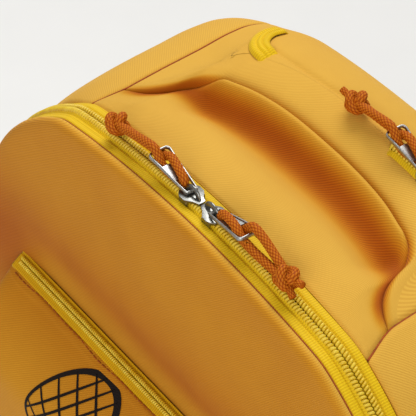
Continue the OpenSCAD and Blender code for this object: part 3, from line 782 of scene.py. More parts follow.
class BAG_OT_back_and_tray(bpy.types.Operator):
    """Makes the back panel and the base tray with its upper hem"""
    bl_idname = "bag.back_and_tray"
    bl_label = "Back panel and base tray"

    def execute(self, context):
        s = round_the_body(260)
        roll = np.array([[0.0, BACK + 0.3], [0.7, BACK + 1.0], [0.7, BACK + 2.4], [-0.8, BACK + 3.6],
                         [-3.5, BACK + 4.2], [-9, BACK + 4.3]])
        x, z, nx, nz = outline(s[:, None], roll[None, :, 0])
        upper = 1 - smooth(np.abs(s), S_SEAM, S_SHOULDER + 40)[:, None]
        inset = 9.0 * (1 - upper)
        rim = np.stack([x - nx * inset, np.broadcast_to(ZIP_Y + roll[None, :, 1], x.shape),
                        z + seam_height(np.full_like(z, BACK)) * upper], 2)
        panel_skin("back_panel_skin", gathered(rim, 30, 1, BASE_Z + 110, TOP_Z - 170), 1,
                   ["back_panel"])
        # The tray wraps under the base from one side to the other and stands 0.8 mm proud of the sides
        s, v = np.meshgrid(np.linspace(S_TRAY, 2 * S_END - S_TRAY, 300), spaced(0, 1, 60, 0.5), indexing="ij")
        past = s > S_END
        x, z, nx, nz = outline(np.where(past, 2 * S_END - s, s))
        sign = np.where(past, -1, 1)
        y = -TAPE_EDGE - 2.6 + v * (BACK + TAPE_EDGE + 5.2)
        end = np.minimum(s - S_TRAY, 2 * S_END - S_TRAY - s)
        puff = (1.0 + 1.4 * np.sin(math.pi * v) * smooth(end, 0, 60) * (1 - smooth(-nz, 0.3, 0.95))
                + 0.5 * np.exp(-((end - 6) / 1.0) ** 2) - 0.5 * np.exp(-(end / 2) ** 2))
        inset = 7.5 * smooth(v, 0.78, 1) * (1 - smooth(-nz, 0.1, 0.9))
        tray = np.stack([sign * (x + nx * (puff - inset)), ZIP_Y + y, z + nz * np.minimum(puff, 0.6)], 2)
        cloth_sheet("base_tray_skin", tray, MATERIALS["fabric"], ["base_tray"], (0, ZIP_Y + 60, 200))
        return {"FINISHED"}


def zip_teeth(at, side, count, pitch, scale):
    """Turns of one row of a coil: each is a four-sided loop that rises from the tape and dips at the middle.

    at(k, across, up) gives points for the place k along the zip. All turns are one set of arrays.
    """
    across = np.array([3.0, 2.75, 2.1, 1.2, 0.45, 0.15]) * scale
    height = np.array([0.2, 1.2, 1.85, 1.95, 1.6, 0.6]) * scale
    slant = np.array([0.0, 0.05, 0.15, 0.35, 0.55, 0.6]) * pitch * 0.8
    r = 0.46 * pitch
    ring = np.array([[1, 0], [0, 1], [-1, 0], [0, -1]]) * r
    k = (np.arange(count) + (0.5 if side > 0 else 0.0)) * pitch
    place = k[:, None, None] + slant[None, :, None] + ring[None, None, :, 0]
    up = height[None, :, None] + ring[None, None, :, 1] + 0 * place
    points = at(place, side * across[None, :, None] + 0 * place, up)
    quads, _, _ = cells(6, 4, wrap_m=True)
    if side < 0:
        quads = quads[:, ::-1]
    return points.reshape(-1, 3), (quads[None] + (np.arange(count) * 24)[:, None, None]).reshape(-1, 4)


def coil_turns(name, at, count, pitch, node, scale=1.0):
    """Both rows of a coil as one piece"""
    rows = [zip_teeth(at, side, count, pitch, scale) for side in (-1, 1)]
    coil = new_object(name, np.concatenate([rows[0][0], rows[1][0]]),
                      np.concatenate([rows[0][1], rows[1][1] + len(rows[0][0])]))
    finished(coil, MATERIALS["coil"], nodes=[node])


class BAG_OT_main_zip(bpy.types.Operator):
    """Makes the main zip: two tapes and two rows of coil over the top and down both sides"""
    bl_idname = "bag.main_zip"
    bl_label = "Main zip"

    def execute(self, context):
        s = np.linspace(-S_TRAY - 1, S_TRAY + 1, 900)
        for word, a, b in (("front", -TAPE_EDGE - 0.3, -0.3), ("rear", 0.3, TAPE_EDGE + 0.3)):
            ss, y = np.meshgrid(s, spaced(a, b, 22, 0.4), indexing="ij")
            q = np.abs(y)
            # The edge dips into the seam, a sewn ridge runs beside a groove, and the coil's bed stands up
            up = (np.where(q > 7.6, 0.55 - 1.3 * smooth(q, 7.6, 8.5), 0.55)
                  + 0.3 * np.exp(-((q - 4.9) / 0.6) ** 2) - 0.5 * np.exp(-((q - 3.7) / 0.4) ** 2)
                  + 0.7 * smooth(q, 3.3, 2.8))
            x, z, _, _ = outline(ss, up)
            cloth_sheet("main_tape_" + word, np.stack([x, ZIP_Y + y, z], 2), MATERIALS["tape"],
                        ["main_zip_tape_" + word], (0, ZIP_Y, 300), thickness=0.5)
        pitch = context.scene.bag_sizes.tooth / MM
        span = S_TRAY - 9

        def at(k, across, up):
            x, z, _, _ = outline(k - span, up)
            return np.stack([x, ZIP_Y + across, z], -1)

        coil_turns("main_coil_turns", at, int(2 * span / pitch), pitch, "main_zip_coil")
        return {"FINISHED"}


def lid_path():
    """Line of the rear zip in plan: from near the back edge, round one corner and across the top"""
    r, left, front, far = 13.0, -70.0, 77.0, 109.0
    a = np.linspace(math.pi, 1.5 * math.pi, 30)
    arc = np.stack([left + r + r * np.cos(a), front + r + r * np.sin(a), 0 * a], 1)
    line = np.concatenate([[[left, far, 0]], arc, [[56.0, front, 0]]])
    path, length = even(line, 0.6)
    path[:, 1] -= 3.0 * (1 - smooth(path[:, 0], -50, 20))
    return path, length


class BAG_OT_rear_zip(bpy.types.Operator):
    """Makes the rear zip: ridged tape round the lid's corner, hidden across the top, seen at its slider"""
    bl_idname = "bag.rear_zip"
    bl_label = "Rear zip"

    def execute(self, context):
        path, length = lid_path()
        t = unit(np.gradient(path, axis=0))
        out = np.stack([t[:, 1], -t[:, 0], 0 * t[:, 0]], 1)
        w = np.linspace(-4.6, 4.6, 45)
        show = (np.maximum(1 - smooth(path[:, 0], -58, -51), smooth(path[:, 0], 20, 28))
                * (1 - smooth(path[:, 1], 91, 96)))
        ridge = 0.2 + 0.85 * np.abs(np.cos(w * math.pi / 2.7)) ** 0.7 - 1.2 * smooth(np.abs(w), 4.0, 4.6)
        flat = path[:, None] + w[None, :, None] * out[:, None]
        lift = (ridge[None, :] + 0.8) * show[:, None] - 2.4 * (1 - show[:, None])
        points = on_rear(flat[..., 0], flat[..., 1], lift)
        cloth_sheet("rear_tape", points, MATERIALS["tape"], ["rear_zip_tape"], (0, ZIP_Y + 90, 500),
                    thickness=0.5)
        pitch = 1.6
        reach = np.arange(len(path)) * length / (len(path) - 1)

        def at(k, across, up):
            k = np.clip(k + length - 32, 0, length)
            c = [np.interp(k, reach, path[:, i]) for i in (0, 1)]
            o = [np.interp(k, reach, out[:, i]) for i in (0, 1)]
            x, y = c[0] + across * o[0], c[1] + across * o[1]
            return on_rear(x, y, up + 0.9)

        coil_turns("rear_coil_turns", at, 19, pitch, "rear_zip_coil")
        return {"FINISHED"}


POCKET_TOP = TOP_Z - 111.0
SLOPE = math.radians(37)
# The cloth starts 9 mm down the slope, and hangs by this height
POCKET_RIM, POCKET_DROP = POCKET_TOP - 9.0 * math.sin(SLOPE), 484


def on_slope(x, s, lift=0.0):
    """Points on the pocket's sloping top, s down the slope from its crease and lift above it"""
    return np.stack([x + 0 * s, PANEL_Y - s * math.cos(SLOPE) - lift * math.sin(SLOPE),
                     POCKET_TOP - s * math.sin(SLOPE) + lift * math.cos(SLOPE)], -1)


def hem_line(x):
    """Distance down the slope of the hem's slightly wavy stitches"""
    return 9.9 + 0.5 * np.sin(x / 11.0) + 0.3 * np.sin(x / 4.7)


def pocket_depth(x, z):
    """How far the pocket stands out at a height, its soft swelling on the face, and the height over its base"""
    full = PANEL_Y - POCKET_LOW[1]
    run = (POCKET_TOP - z) / math.tan(SLOPE)
    low = z - (POCKET_RIM - POCKET_DROP)
    soft = smooth(run, full * 0.9, full * 1.6) * (
        1.6 * np.sin(math.pi * np.clip(low / 440, 0, 1)) * np.cos(x / 126.0 * 1.4)
        + 0.8 * np.sin(x / 33.0 + 1) * np.sin(z / 61.0))
    return full - np.logaddexp(0, (full - run) / 4.0) * 4.0, soft, low


def pocket_points():
    """Front pocket: columns run from the body out round the sides and across; rows go down from the zip.

    Each point stands out from the front panel by the slope's depth, softened at the fold and drawn in at
    the base, times a factor that rises from 0 at the body to 1 past the rounded side edges.
    """
    half, r, full = 126.0, 13.0, PANEL_Y - POCKET_LOW[1]
    corner = np.linspace(0, math.pi / 2, 12)
    edge = np.concatenate([np.full(14, half), half - r + r * np.cos(corner)])
    px = np.concatenate([edge, np.linspace(half - r, -half + r, 150)[1:-1], -edge[::-1]])
    edge = np.concatenate([np.linspace(0, 1 - r / full, 14), 1 - r / full + r / full * np.sin(corner)])
    g = np.concatenate([edge, np.ones(148), edge[::-1]])
    z = POCKET_RIM - np.concatenate([spaced(0, 60, 60, 0.2)[:-1], np.linspace(60, POCKET_DROP, 110)])
    x, z = np.meshgrid(px, z, indexing="ij")
    g = np.broadcast_to(g[:, None], x.shape)
    plain, soft, low = pocket_depth(x, z)
    depth = plain * np.sqrt(np.clip(1 - (1 - np.clip(low / 16, 0, 1)) ** 2, 0, 1)) + g * soft
    past = (POCKET_TOP - z) / math.tan(SLOPE) / math.cos(SLOPE) - hem_line(x)
    depth = depth + 0.9 * np.exp(-((past + 1.3) / 0.8) ** 2) + 1.0 * np.exp(-((past - 1.5) / 1.1) ** 2)
    depth = depth - 0.5 * np.exp(-(past / 0.5) ** 2)
    y = PANEL_Y - g * np.maximum(depth, 0)
    return np.stack([x, y, z], 2)


class BAG_OT_front_pocket(bpy.types.Operator):
    """Makes the front pocket with its zip, its sewn hem and the printed drawing of a racket and a ball"""
    bl_idname = "bag.front_pocket"
    bl_label = "Front pocket"

    def execute(self, context):
        points = pocket_points()
        # Painted shade and bounce light on the pocket: 0.22 all over, more along its upper edge
        folded(cloth_sheet("front_pocket_skin", points, MATERIALS["fabric"], ["pocket_front", "pocket_gusset"],
                           (0, PANEL_Y + 40, 400), thickness=1.4),
               lambda x, y, z: 0.22 + 0.15 * np.exp(-((z - POCKET_TOP) / 14.0) ** 2))
        x, s = np.meshgrid(np.linspace(-124.5, 124.5, 300), spaced(0.3, 9.5, 30, 0.4), indexing="ij")
        up = (0.6 + 0.2 * np.sin(x / 9.0) * smooth(s, 6, 12) - 0.5 * np.exp(-((s - 1.6) / 0.4) ** 2)
              - 0.8 * smooth(s, 8.7, 9.4))
        # Painted shade on the pocket's zip tape: 0.2 all over
        folded(cloth_sheet("pocket_tape", on_slope(x, s, up), MATERIALS["tape"], ["pocket_zip_tape"],
                           (0, PANEL_Y, 300), thickness=0.5),
               lambda x, y, z: 0.2 + 0 * x)

        def at(k, across, up):
            return on_slope(k - 121.0, 4.0 + across, up + 0.7)

        coil_turns("pocket_coil_turns", at, 200, 1.2, "pocket_zip_coil", 0.72)
        # Stitches of the hem, 3 mm long, in a slightly wavy line
        k = np.arange(-120, 120, 3.4)
        t = np.linspace(0, 1, 5)[:, None]
        sx = k[None] + t * 2.6
        line = on_slope(sx, hem_line(sx), 0.1 + 0.35 * np.sin(math.pi * t))
        r = rounded(0.6, 0.6, 6, 2)
        rings = line[:, :, None] + np.stack([0 * r[:, 0], r[:, 0], r[:, 1]], 1)[None, None]
        quads, _, _ = cells(5, 6, wrap_m=True)
        stitches = new_object("pocket_stitches", rings.transpose(1, 0, 2, 3).reshape(-1, 3),
                              (quads[None] + (np.arange(len(k)) * 30)[:, None, None]).reshape(-1, 4))
        finished(stitches, MATERIALS["thread"])
        self.print_lines()
        return {"FINISHED"}

    @staticmethod
    def print_lines():
        """Lays brush-like lines of a racket and a ball on the pocket's slope and face"""
        a = np.linspace(0, 2 * math.pi, 90)
        turn = math.radians(-38)
        lines = [(np.stack([21 * np.cos(a), 28 * np.sin(a)], 1), 3.4, True),
                 (np.stack([np.zeros(30), np.linspace(-28, -74, 30)], 1), 4.2, False),
                 (np.stack([34 + 6.5 * np.cos(a), -34 + 6.5 * np.sin(a)], 1), 2.2, True)]
        for k in (-12, -6, 0, 6, 12):
            tall, wide = 28 * math.sqrt(1 - (k / 21) ** 2), 21 * math.sqrt(1 - (1.5 * k / 28) ** 2)
            lines.append((np.stack([np.full(30, float(k)), np.linspace(-tall, tall, 30)], 1), 1.4, False))
            lines.append((np.stack([np.linspace(-wide, wide, 30), np.full(30, 1.5 * k)], 1), 1.3, False))
        parts = []
        for i, (line, width, shut) in enumerate(lines):
            flat = line @ np.array([[math.cos(turn), math.sin(turn)], [-math.sin(turn), math.cos(turn)]])
            t = unit(np.gradient(flat, axis=0))
            side = np.stack([-t[:, 1], t[:, 0]], 1)
            ends = 0.55 + 0.45 * np.sin(np.linspace(0.2, 3.0, len(flat)))
            taper = 0.8 + 0.3 * np.sin(a + 0.7) if shut else ends
            w = np.linspace(-0.5, 0.5, 4)[None, :, None] * (width * taper)[:, None, None]
            p = flat[:, None] + w * side[:, None]
            x, down = p[..., 0] - 46.0, 29.0 - p[..., 1]
            z = POCKET_RIM - down * 0.72
            plain, soft, _ = pocket_depth(x, z)
            parts.append(grid_object(f"print_{i}", np.stack([x, PANEL_Y - (plain + soft) - 0.22, z + 0.22], 2),
                                     towards=(0, PANEL_Y + 100, 200)))
        obj = joined("racket_and_ball_print", parts)
        finished(obj, MATERIALS["ink"])


# Route of a pull cord from the knot over the pull's far end, through its slots and back to the knot, with
# the pivot at the origin and the pull along +X
ROUTE = np.array([
    [44, 1.0, 0.9], [40, 1.3, 1.3], [35, 1.7, 2.0], [30, 2.0, 2.6], [26, 2.1, 2.9],
    [23, 2.1, 2.7], [20.4, 2.1, 1.2], [18.2, 2.0, -0.8], [16, 1.6, -2.1], [12.5, 1.0, -2.5],
    [8.6, 0.3, -2.4], [5.8, 0, -1.6], [4.9, 0, 0], [5.8, 0, 1.6], [8.6, -0.3, 2.4],
    [12.5, -1.0, 2.5], [16, -1.6, 2.1], [18.2, -2.0, 0.8], [20.4, -2.1, -1.2], [23, -2.1, -2.7],
    [26, -2.0, -2.9], [30, -1.9, -2.6], [35, -1.6, -2.0], [40, -1.3, -1.3], [44, -1.0, -0.9],
])
PULL_LENGTH, KNOT_X = 24.0, 47.0


def drooped(p, droop, stretch=1.0):
    """Stretches what lies beyond the pull's far end and turns it down by the droop"""
    c, n = math.cos(math.radians(droop)), math.sin(math.radians(droop))
    reach = (p[..., 0] - PULL_LENGTH) * stretch
    out = np.stack([PULL_LENGTH + reach * c + p[..., 2] * n, p[..., 1], p[..., 2] * c - reach * n], -1)
    return np.where(p[..., :1] <= PULL_LENGTH, p, out)


def turned(axis, degrees):
    return Matrix.Rotation(math.radians(degrees), 4, axis)


def shifted(x, y, z):
    return Matrix.Translation((x, y, z))


def slider_places():
    """Name, body stem, place on the zip, droop, stretch, scale and whether the knot has cut tails"""
    def arch(x, y, turn, rise=0.0):
        return (shifted(0, y, CROWN_Z + rise) @ turned("Y", math.degrees(math.asin(x / CROWN_R)))
                @ shifted(0, 0, CROWN_R) @ turned("Z", turn))

    pocket = (shifted(100, PANEL_Y, POCKET_TOP) @ turned("X", 37) @ shifted(0, -4.6, 0)
              @ Matrix.Scale(0.72, 4) @ turned("Z", 180))
    return (("main_left", arch(-6.3, ZIP_Y, 180), 24, 1.27, 1.0, False),
            ("main_right", arch(6.3, ZIP_Y, 0), 24, 1.0, 1.0, True),
            ("rear", arch(46, ZIP_Y + 77, 180, 9), 24, 1.0, 1.0, True),
            ("pocket", pocket, 17, 1.0, 0.72, True))


def names_of(stem):
    word, _, side = stem.partition("_")
    tail = "_" + side if side else ""
    return [f"{word}_{part}{tail}" for part in ("slider", "pull", "cord", "knot")]


def apply_place(points, m):
    a = np.array(m)
    return points @ a[:3, :3].T + a[:3, 3]


def braid(name, path, radius, pearl=1.0):
    """Braided cord: a tube whose radius swells into pearls along two crossing spirals.

    The swelling is |sin(4a + ks) sin(4a - ks)| for the angle a round the cord and the place s along it.
    """
    path, length = even(path, 0.22)
    a = np.linspace(0, 2 * math.pi, 48, endpoint=False)
    s = np.arange(len(path)) * 0.22
    k = math.pi / (2.1 * pearl)
    swell = np.abs(np.sin(4 * a[None] + k * s[:, None]) * np.sin(4 * a[None] - k * s[:, None])) ** 0.6
    r = radius * (0.87 + 0.17 * swell)
    t = unit(np.gradient(path, axis=0))
    # A frame that doesn't twist: each side vector is the last one made square to the new heading
    side = np.empty_like(t)
    v = np.cross(t[0], [0.3, 1, 0.2])
    for i, h in enumerate(t):
        v = side[i] = unit(v - h * np.dot(v, h))
    other = np.cross(t, side)
    ring = path[:, None] + r[..., None] * (np.cos(a)[None, :, None] * side[:, None]
                                           + np.sin(a)[None, :, None] * other[:, None])
    ring = np.concatenate([path[:1, None] + 0 * ring[:1], ring, path[-1:, None] + 0 * ring[:1]])
    obj = grid_object(name, ring, wrap_m=True)
    pearls = np.concatenate([swell[:1], swell, swell[-1:]]).astype(np.float32)
    obj.data.attributes.new("pearl", "FLOAT", "POINT").data.foreach_set("value", pearls.ravel())
    return tidy(obj, 0.002), path, length


class BAG_OT_pulls(bpy.types.Operator):
    """Makes each slider, metal pull, braided cord and knot"""
    bl_idname = "bag.pulls"
    bl_label = "Sliders, pulls and cords"

    def execute(self, context):
        for stem, place, droop, stretch, scale, tails in slider_places():
            slider, pull, cord, knot = names_of(stem)
            self.slider(stem, place, slider)
            at_pivot = place @ shifted(1.2, 0, 4.9) @ turned("Y", -13)
            self.pull(stem, at_pivot, pull)
            self.cord(stem, at_pivot, droop, stretch, scale, tails, (pull, cord, knot))
        return {"FINISHED"}

    def slider(self, stem, place, node):
        """Waisted plate with eased edges, two flanges and a rounded bridge"""
        shape = [(-5.9, -1.6), (-5.9, 1.6), (-3.4, 2.6), (-0.4, 4.9), (2.6, 5.1), (4.2, 4.3), (5.8, 3.0),
                 (5.2, 0), (5.8, -3.0), (4.2, -4.3), (2.6, -5.1), (-0.4, -4.9), (-3.4, -2.6)]
        top = bevelled(plate(stem + "_plate", shape[::-1], 2.55, 3.75), 0.35)
        wings = [bevelled(plate(stem + "_wing", [(-1.4, y - 0.4), (4.0, y - 0.4), (3.6, y + 0.4),
                                                 (-1.0, y + 0.4)], 0.5, 2.7), 0.15) for y in (-4.2, 4.2)]
        a = np.linspace(-0.12, math.pi + 0.12, 40)
        arch = np.stack([3.35 * np.cos(a), 0 * a, 3.7 + 3.3 * np.sin(a)], 1)
        bridge = solid_strip(stem + "_bridge", arch, 3.0, 1.35, up=(0, 1, 0), n=20, power=2.4)
        self.metal(stem + "_slider_metal", [top, *wings, bridge], place, "nickel", node)

    @staticmethod
    def metal(name, parts, place, finish, node):
        """Joins the parts, applies their modifiers and puts the piece's place into its mesh"""
        obj = joined(name, parts)
        with bpy.context.temp_override(object=obj, active_object=obj, selected_objects=[obj]):
            for mod in list(obj.modifiers):
                bpy.ops.object.modifier_apply(modifier=mod.name)
        finished(placed(obj, place), MATERIALS[finish], node, [node])
        obj.data.polygons.foreach_set("use_smooth", np.ones(len(obj.data.polygons), bool))
        obj.data.set_sharp_from_angle(angle=math.radians(50))

    def pull(self, stem, place, node):
        """Raised rim round a thin plate, with a pin through the slider's bridge"""
        y0, y1, x1, r = 2.55, 4.7, 23.4, 1.7
        corner = np.linspace(0, math.pi / 2, 9)
        far = np.stack([x1 - r + r * np.sin(corner), y1 - r + r * np.cos(corner), 0 * corner], 1)
        near = [[0, 0, 0], [0, y0 - 0.6, 0], [0.6, y0, 0], [8, y0 + 0.72, 0], [16, y0 + 1.45, 0]]
        half = np.concatenate([near, far, [[x1, 0, 0]]])
        loop = np.concatenate([half, (half * [1, -1, 1])[-2:0:-1]])
        rim = solid_strip(stem + "_rim", loop[::-1], 1.0, 1.8, closed=True, n=14, power=2.6)
        web = bevelled(plate(stem + "_web", [(7.4, -3.2), (15.6, -3.9), (15.6, 3.9), (7.4, 3.2)],
                             -0.35, 0.35), 0.12)
        pin = solid_strip(stem + "_pin", np.stack([np.zeros(8), np.linspace(-2.6, 2.6, 8), np.zeros(8)], 1),
                          1.6, 1.6, n=16, power=2)
        self.metal(stem + "_pull_metal", [rim, web, pin], place, "satin", node)

    def cord(self, stem, place, droop, stretch, scale, tails, nodes):
        pull, cord, knot = nodes
        path = apply_place(drooped(smooth_path(ROUTE, 420), droop, stretch), place)
        width = bpy.context.scene.bag_sizes.cord / MM * scale
        obj, path, length = braid(stem + "_cord_braid", path, width / 2, scale)
        finished(obj, MATERIALS["cord"], pull, [cord])
        # Overhand knot: a line that goes round a ring three times while it winds round it twice
        a = np.linspace(0, 2 * math.pi, 260)
        ring = np.stack([2.7 * np.sin(3 * a), (2.45 + 1.35 * np.cos(3 * a)) * np.cos(2 * a),
                         (2.45 + 1.35 * np.cos(3 * a)) * np.sin(2 * a)], 1)
        centre = drooped(np.array([[KNOT_X, 0.0, 0.0]]), droop, stretch)[0]
        tilt = np.array(turned("Y", droop) @ turned("X", 25))[:3, :3]
        lines = [("_knot", ring, 1.95)]
        if tails:
            lines += [("_tail", smooth_path([[0, y * 0.4, z * 0.4], [4.2, y, z], [7.6, y * 1.5, z * 1.9]], 40),
                       1.5) for y, z in ((1.8, 1.2), (-1.9, -0.6))]
        parts = [braid(stem + word, apply_place(line @ tilt.T + centre, place), r * scale, scale)[0]
                 for word, line, r in lines]
        tied = finished(joined(stem + "_knot_tied", parts), MATERIALS["cord"], pull, [knot])
        start = drooped(np.array([[PULL_LENGTH, 0.0, 0.0]]), droop, 1.0)[0]
        far_bar = apply_place(start[None], place)[0] * MM


def inflate(obj, cap):
    """Swells a closed pad: voxel remesh, twenty steps of cloth under pressure without gravity, capped"""
    bpy.context.view_layer.objects.active = obj
    before = obj.modifiers.new("remesh", "REMESH")
    before.mode, before.voxel_size = "VOXEL", 0.005
    with bpy.context.temp_override(object=obj, active_object=obj, selected_objects=[obj]):
        bpy.ops.object.modifier_apply(modifier=before.name)
    start = places(obj)
    cloth = obj.modifiers.new("cloth", "CLOTH")
    cloth.settings.use_pressure, cloth.settings.uniform_pressure_force = True, 4.0
    cloth.settings.effector_weights.gravity = 0.0
    cloth.point_cache.frame_start, cloth.point_cache.frame_end = 1, 20
    scene = bpy.context.scene
    for f in range(1, 21):
        scene.frame_set(f)
    bpy.context.view_layer.update()
    shape = obj.evaluated_get(bpy.context.evaluated_depsgraph_get()).to_mesh()
    moved = np.empty(start.size)
    shape.vertices.foreach_get("co", moved)
    obj.modifiers.remove(cloth)
    scene.frame_set(1)
    step = moved.reshape(-1, 3) - start
    length = np.linalg.norm(step, axis=1, keepdims=True)
    step *= np.minimum(1, cap * MM / np.maximum(length, 1e-9))
    obj.data.vertices.foreach_set("co", (start + step).ravel())
    obj.data.update()


def pad_box(name, low, high):
    """Closed pad on a box: a slab that thins towards its edges"""
    low, high = np.array(low, float), np.array(high, float)
    n = 48
    a, b = np.meshgrid(np.linspace(-1, 1, n), np.linspace(-1, 1, n), indexing="ij")
    c, h = (low + high) / 2, (high - low) / 2
    edge = np.clip(1 - np.maximum(np.abs(a), np.abs(b)), 0, 1)
    bulge = np.sqrt(np.clip(edge * max(h[0], h[2]) / 4.0, 0, 1))
    faces = [np.stack([c[0] + a * h[0], c[1] + sgn * h[1] * (0.15 + 0.85 * bulge), c[2] + b * h[2]], 2)
             for sgn in (-1, 1)]
    quads, _, _ = cells(n, n)
    ring = np.concatenate([np.arange(n) * n, (n - 1) * n + np.arange(1, n),
                           np.arange(n - 2, -1, -1) * n + n - 1, np.arange(n - 2, 0, -1)])
    other = ring + n * n
    rim = np.stack([ring, np.roll(ring, -1), np.roll(other, -1), other], 1)
    obj = new_object(name, np.concatenate([f.reshape(-1, 3) for f in faces]),
                     np.concatenate([quads, quads[:, ::-1] + n * n, rim]))
    return tidy(obj, 0.002)


class BAG_OT_back_pads(bpy.types.Operator):
    """Makes the three back pads by cloth simulation"""
    bl_idname = "bag.back_pads"
    bl_label = "Back pads"

    def execute(self, context):
        y0, y1 = BACK_HIGH[1] + 0.4, BACK_HIGH[1] + 9.2
        parts = [pad_box("pad", (x0, y0, z0), (x1, y1, z1))
                 for x0, x1, z0, z1 in ((20, 116, 333, 589), (-116, -20, 333, 589), (-115, 115, 133, 297))]
        for p in parts:
            inflate(p, 5.0)
        obj = joined("back_pads_padded", parts)
        co = places(obj)
        # Sewn channels across the pads every 44 mm, and nothing sinks into the panel behind
        z = co[:, 2] / MM
        dip = 2.4 * np.exp(-(((z - 137 + 22) % 44 - 22) / 3.0) ** 2)
        out = smooth(co[:, 1] / MM, y0 + 2, y1)
        co[:, 1] = np.maximum(np.minimum(co[:, 1] / MM, y1 + 1.2) - dip * out, y0 - 0.2) * MM
        obj.data.vertices.foreach_set("co", co.ravel())
        self.finish_pad(obj, context)
        finished(obj, MATERIALS["spacer"], nodes=["back_pads"])
        return {"FINISHED"}

    @staticmethod
    def finish_pad(obj, context):
        mod = obj.modifiers.new("smooth", "SUBSURF")
        mod.levels = mod.render_levels = context.scene.bag_sizes.levels
        obj.data.polygons.foreach_set("use_smooth", np.ones(len(obj.data.polygons), bool))


STRAP_X, STRAP_TOP, STRAP_LONG, SPLAY = 66.0, TOP_Z - 96, 330.0, 5.0
PAD_BACK = BACK_Y + 4.4 + 10


def splayed(side):
    """Place of a strap's parts, which move outwards as they go down"""
    m = shifted(STRAP_X, 0, STRAP_TOP) @ turned("Y", -SPLAY) @ shifted(0, 0, -STRAP_TOP)
    return Matrix.Scale(-1, 4, (1, 0, 0)) @ m if side < 0 else m


def strap_curve(t):
    """Side view of a strap at t from its top to its end: it bows away from the back by a sine"""
    return np.stack([0 * t, PAD_BACK + 1.5 + 4.5 + 30 * np.sin(math.pi * np.clip(t, 0, 1)) ** 1.2,
                     STRAP_TOP - STRAP_LONG * t], -1)


class BAG_OT_shoulder_straps(bpy.types.Operator):
    """Makes the padded shoulder straps, their webbing and the sewn tabs"""
    bl_idname = "bag.shoulder_straps"
    bl_label = "Shoulder straps"

    def execute(self, context):
        t = np.linspace(0.004, 0.996, 90)
        for side, word in ((-1, "left"), (1, "right")):
            m = splayed(side)
            w = np.linspace(-1, 1, 25)
            line = strap_curve(t)
            head = unit(np.gradient(line, axis=0))
            normal = np.stack([0 * t, -head[:, 2], head[:, 1]], 1)
            narrow = 27.4 - 4.5 * smooth(t, 0.75, 1.0) + 1.2 * np.sin(t * 6.0)
            round_ = np.sqrt(np.clip(1 - w ** 6, 0, 1))
            ends = np.sqrt(np.clip(np.minimum(t, 1 - t) / 0.02, 0, 1))
            rings = []
            for sgn in (1, -1):
                thick = sgn * (0.6 + 3.0 * round_[None] * ends[:, None])
                ww = w if sgn > 0 else w[::-1]
                rings.append(line[:, None] + np.stack([ww[None] * narrow[:, None], 0 * thick, 0 * thick], 2)
                             + thick[..., None] * normal[:, None])
            ring = np.concatenate(rings, 1)
            ring = np.concatenate([ring[:1].mean(1, keepdims=True) + 0 * ring[:1], ring,
                                   ring[-1:].mean(1, keepdims=True) + 0 * ring[:1]])
            obj = tidy(grid_object("shoulder_strap_pad_" + word, apply_place(ring, m), wrap_m=True), 0.01)
            inflate(obj, 3.0)
            BAG_OT_back_pads.finish_pad(obj, context)
            finished(obj, MATERIALS["fabric_solid"], nodes=["shoulder_strap_" + word])
            web = np.stack([np.zeros(60), np.full(60, PAD_BACK + 5.5) + 0.5 * np.sin(np.linspace(0, 9, 60)),
                            np.linspace(STRAP_TOP - STRAP_LONG - 31.4, 176.4, 60)], 1)
            webbing = solid_strip("strap_web_" + word, web, 25, 1.8, up=(0, -1, 0), power=6)
            placed(webbing, m)
            tidy(webbing, 0.004)
            finished(webbing, MATERIALS["webbing"], nodes=["strap_webbing_" + word])
        for word, make in (("top", self.top), ("base", self.low)):
            obj, node = joined("strap_tabs_" + word, [make(side) for side in (-1, 1)]), f"strap_{word}_tabs"
            finished(obj, MATERIALS["webbing"], nodes=[node])
        return {"FINISHED"}

    @staticmethod
    def top(side):
        y = np.linspace(PAD_BACK - 9.6, PAD_BACK + 9.2, 20)
        line = np.stack([0 * y, y, STRAP_TOP + 8.8 + 1.2 * np.sin(np.linspace(0, math.pi, 20))], 1)
        obj = placed(solid_strip("tab", line, 50, 14.5, n=32, power=5), splayed(side))
        return tidy(obj, 0.004)

    @staticmethod
    def low(side):
        x = side * (STRAP_X + (STRAP_TOP - 176) * math.tan(math.radians(SPLAY)))
        z = np.linspace(142.6, 174.6, 24)
        line = np.stack([x + 0 * z, PAD_BACK + 3.2 + 0.4 * np.sin(z / 4.0), z], 1)
        return solid_strip("tab", line, 35, 5.4, up=(0, -1, 0), n=28, power=5)


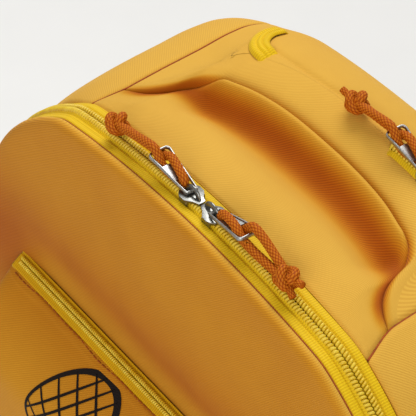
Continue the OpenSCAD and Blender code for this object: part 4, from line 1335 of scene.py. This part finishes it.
class BAG_OT_handles(bpy.types.Operator):
    """Makes the side handles, the grab handle with its grip, and the patches it is sewn under"""
    bl_idname = "bag.handles"
    bl_label = "Handles"

    def execute(self, context):
        y = ZIP_Y + 59
        t = np.linspace(0, 1, 90)
        for side, word in ((-1, "left"), (1, "right")):
            x = side * (HALF_W + 2.0 + 17 * np.sin(math.pi * t) ** 0.8)
            line = np.stack([x, y + 0 * t, 430 + 150 * (t - 0.5)], 1)
            obj = solid_strip("side_handle_web_" + word, line, 24.4, 3.2, up=(1, 0, 0), n=32, power=6)
            finished(obj, MATERIALS["webbing"], nodes=["side_handle_" + word])
        top, hang, face = TOP_Z - 66, 56.0, BACK_Y + 4.4 + 3.6
        tails = [solid_strip("tail", np.stack([np.full(30, s * 26.0), np.full(30, face),
                                               np.linspace(top - hang, top - 1, 30)], 1), 10.6, 2.8,
                             up=(0, -1, 0), n=24, power=5) for s in (-1, 1)]
        a = np.linspace(-1, 1, 40)
        grip = solid_strip("grip", np.stack([31 * a, np.full(40, face + 4.2), np.full(40, top - hang)], 1),
                           13.2, 13.2, n=28, power=2.2)
        finished(joined("grab_handle_web", [*tails, grip]), MATERIALS["webbing"], "grab_handle",
                 ["grab_handle"])
        patches = [solid_strip("patch", np.stack([np.full(10, s * 26.0), np.full(10, BACK_Y + 5.2),
                                                  np.linspace(top + 2.2, top + 17.8, 10)], 1), 17.6, 1.4,
                               up=(0, -1, 0), n=24, power=7) for s in (-1, 1)]
        finished(joined("grab_handle_patch_pair", patches), MATERIALS["webbing"],
                 nodes=["grab_handle_patches"])
        return {"FINISHED"}


class BAG_OT_hard_parts(bpy.types.Operator):
    """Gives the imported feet, adjusters, boards and linings their finishes"""
    bl_idname = "bag.hard_parts"
    bl_label = "Hard parts and linings"

    def execute(self, context):
        finishes = {"plastic": ("feet", "strap_adjuster_left", "strap_adjuster_right"),
                    "board": ("base_stiffener", "back_stiffener"), "lining": ("divider_panel",),
                    "mesh": ("divider_mesh_pocket", "racket_strap")}
        for key, nodes in finishes.items():
            for slot in (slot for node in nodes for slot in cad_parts[node].material_slots):
                slot.material = MATERIALS[key]
        return {"FINISHED"}


class BAG_PT_panel(bpy.types.Panel):
    """Lists the sizes, the colours and the steps"""
    bl_idname = "BAG_PT_panel"
    bl_label = "Racket bag"
    bl_space_type = "VIEW_3D"
    bl_region_type = "UI"
    bl_category = "Racket bag"

    def draw(self, context):
        for group in (context.scene.bag_sizes, context.scene.bag_colours):
            for key in group.__annotations__:
                self.layout.prop(group, key)
        for step in STEPS:
            self.layout.operator(step.bl_idname)


STEPS = (BAG_OT_stage, BAG_OT_pulls, BAG_OT_skins, BAG_OT_back_and_tray, BAG_OT_main_zip, BAG_OT_rear_zip,
         BAG_OT_front_pocket, BAG_OT_back_pads, BAG_OT_shoulder_straps, BAG_OT_handles, BAG_OT_hard_parts)
CLASSES = (BagSizes, BagColours, *STEPS, BAG_PT_panel)


def register():
    for c in CLASSES:
        bpy.utils.register_class(c)
    bpy.types.Scene.bag_sizes = PointerProperty(type=BagSizes)
    bpy.types.Scene.bag_colours = PointerProperty(type=BagColours)


def unregister():
    del bpy.types.Scene.bag_sizes, bpy.types.Scene.bag_colours
    for c in reversed(CLASSES):
        bpy.utils.unregister_class(c)


def main():
    register()
    make_materials()
    for step in STEPS:
        group, name = step.bl_idname.split(".")
        getattr(getattr(bpy.ops, group), name)()


if __name__ == "__main__":
    main()
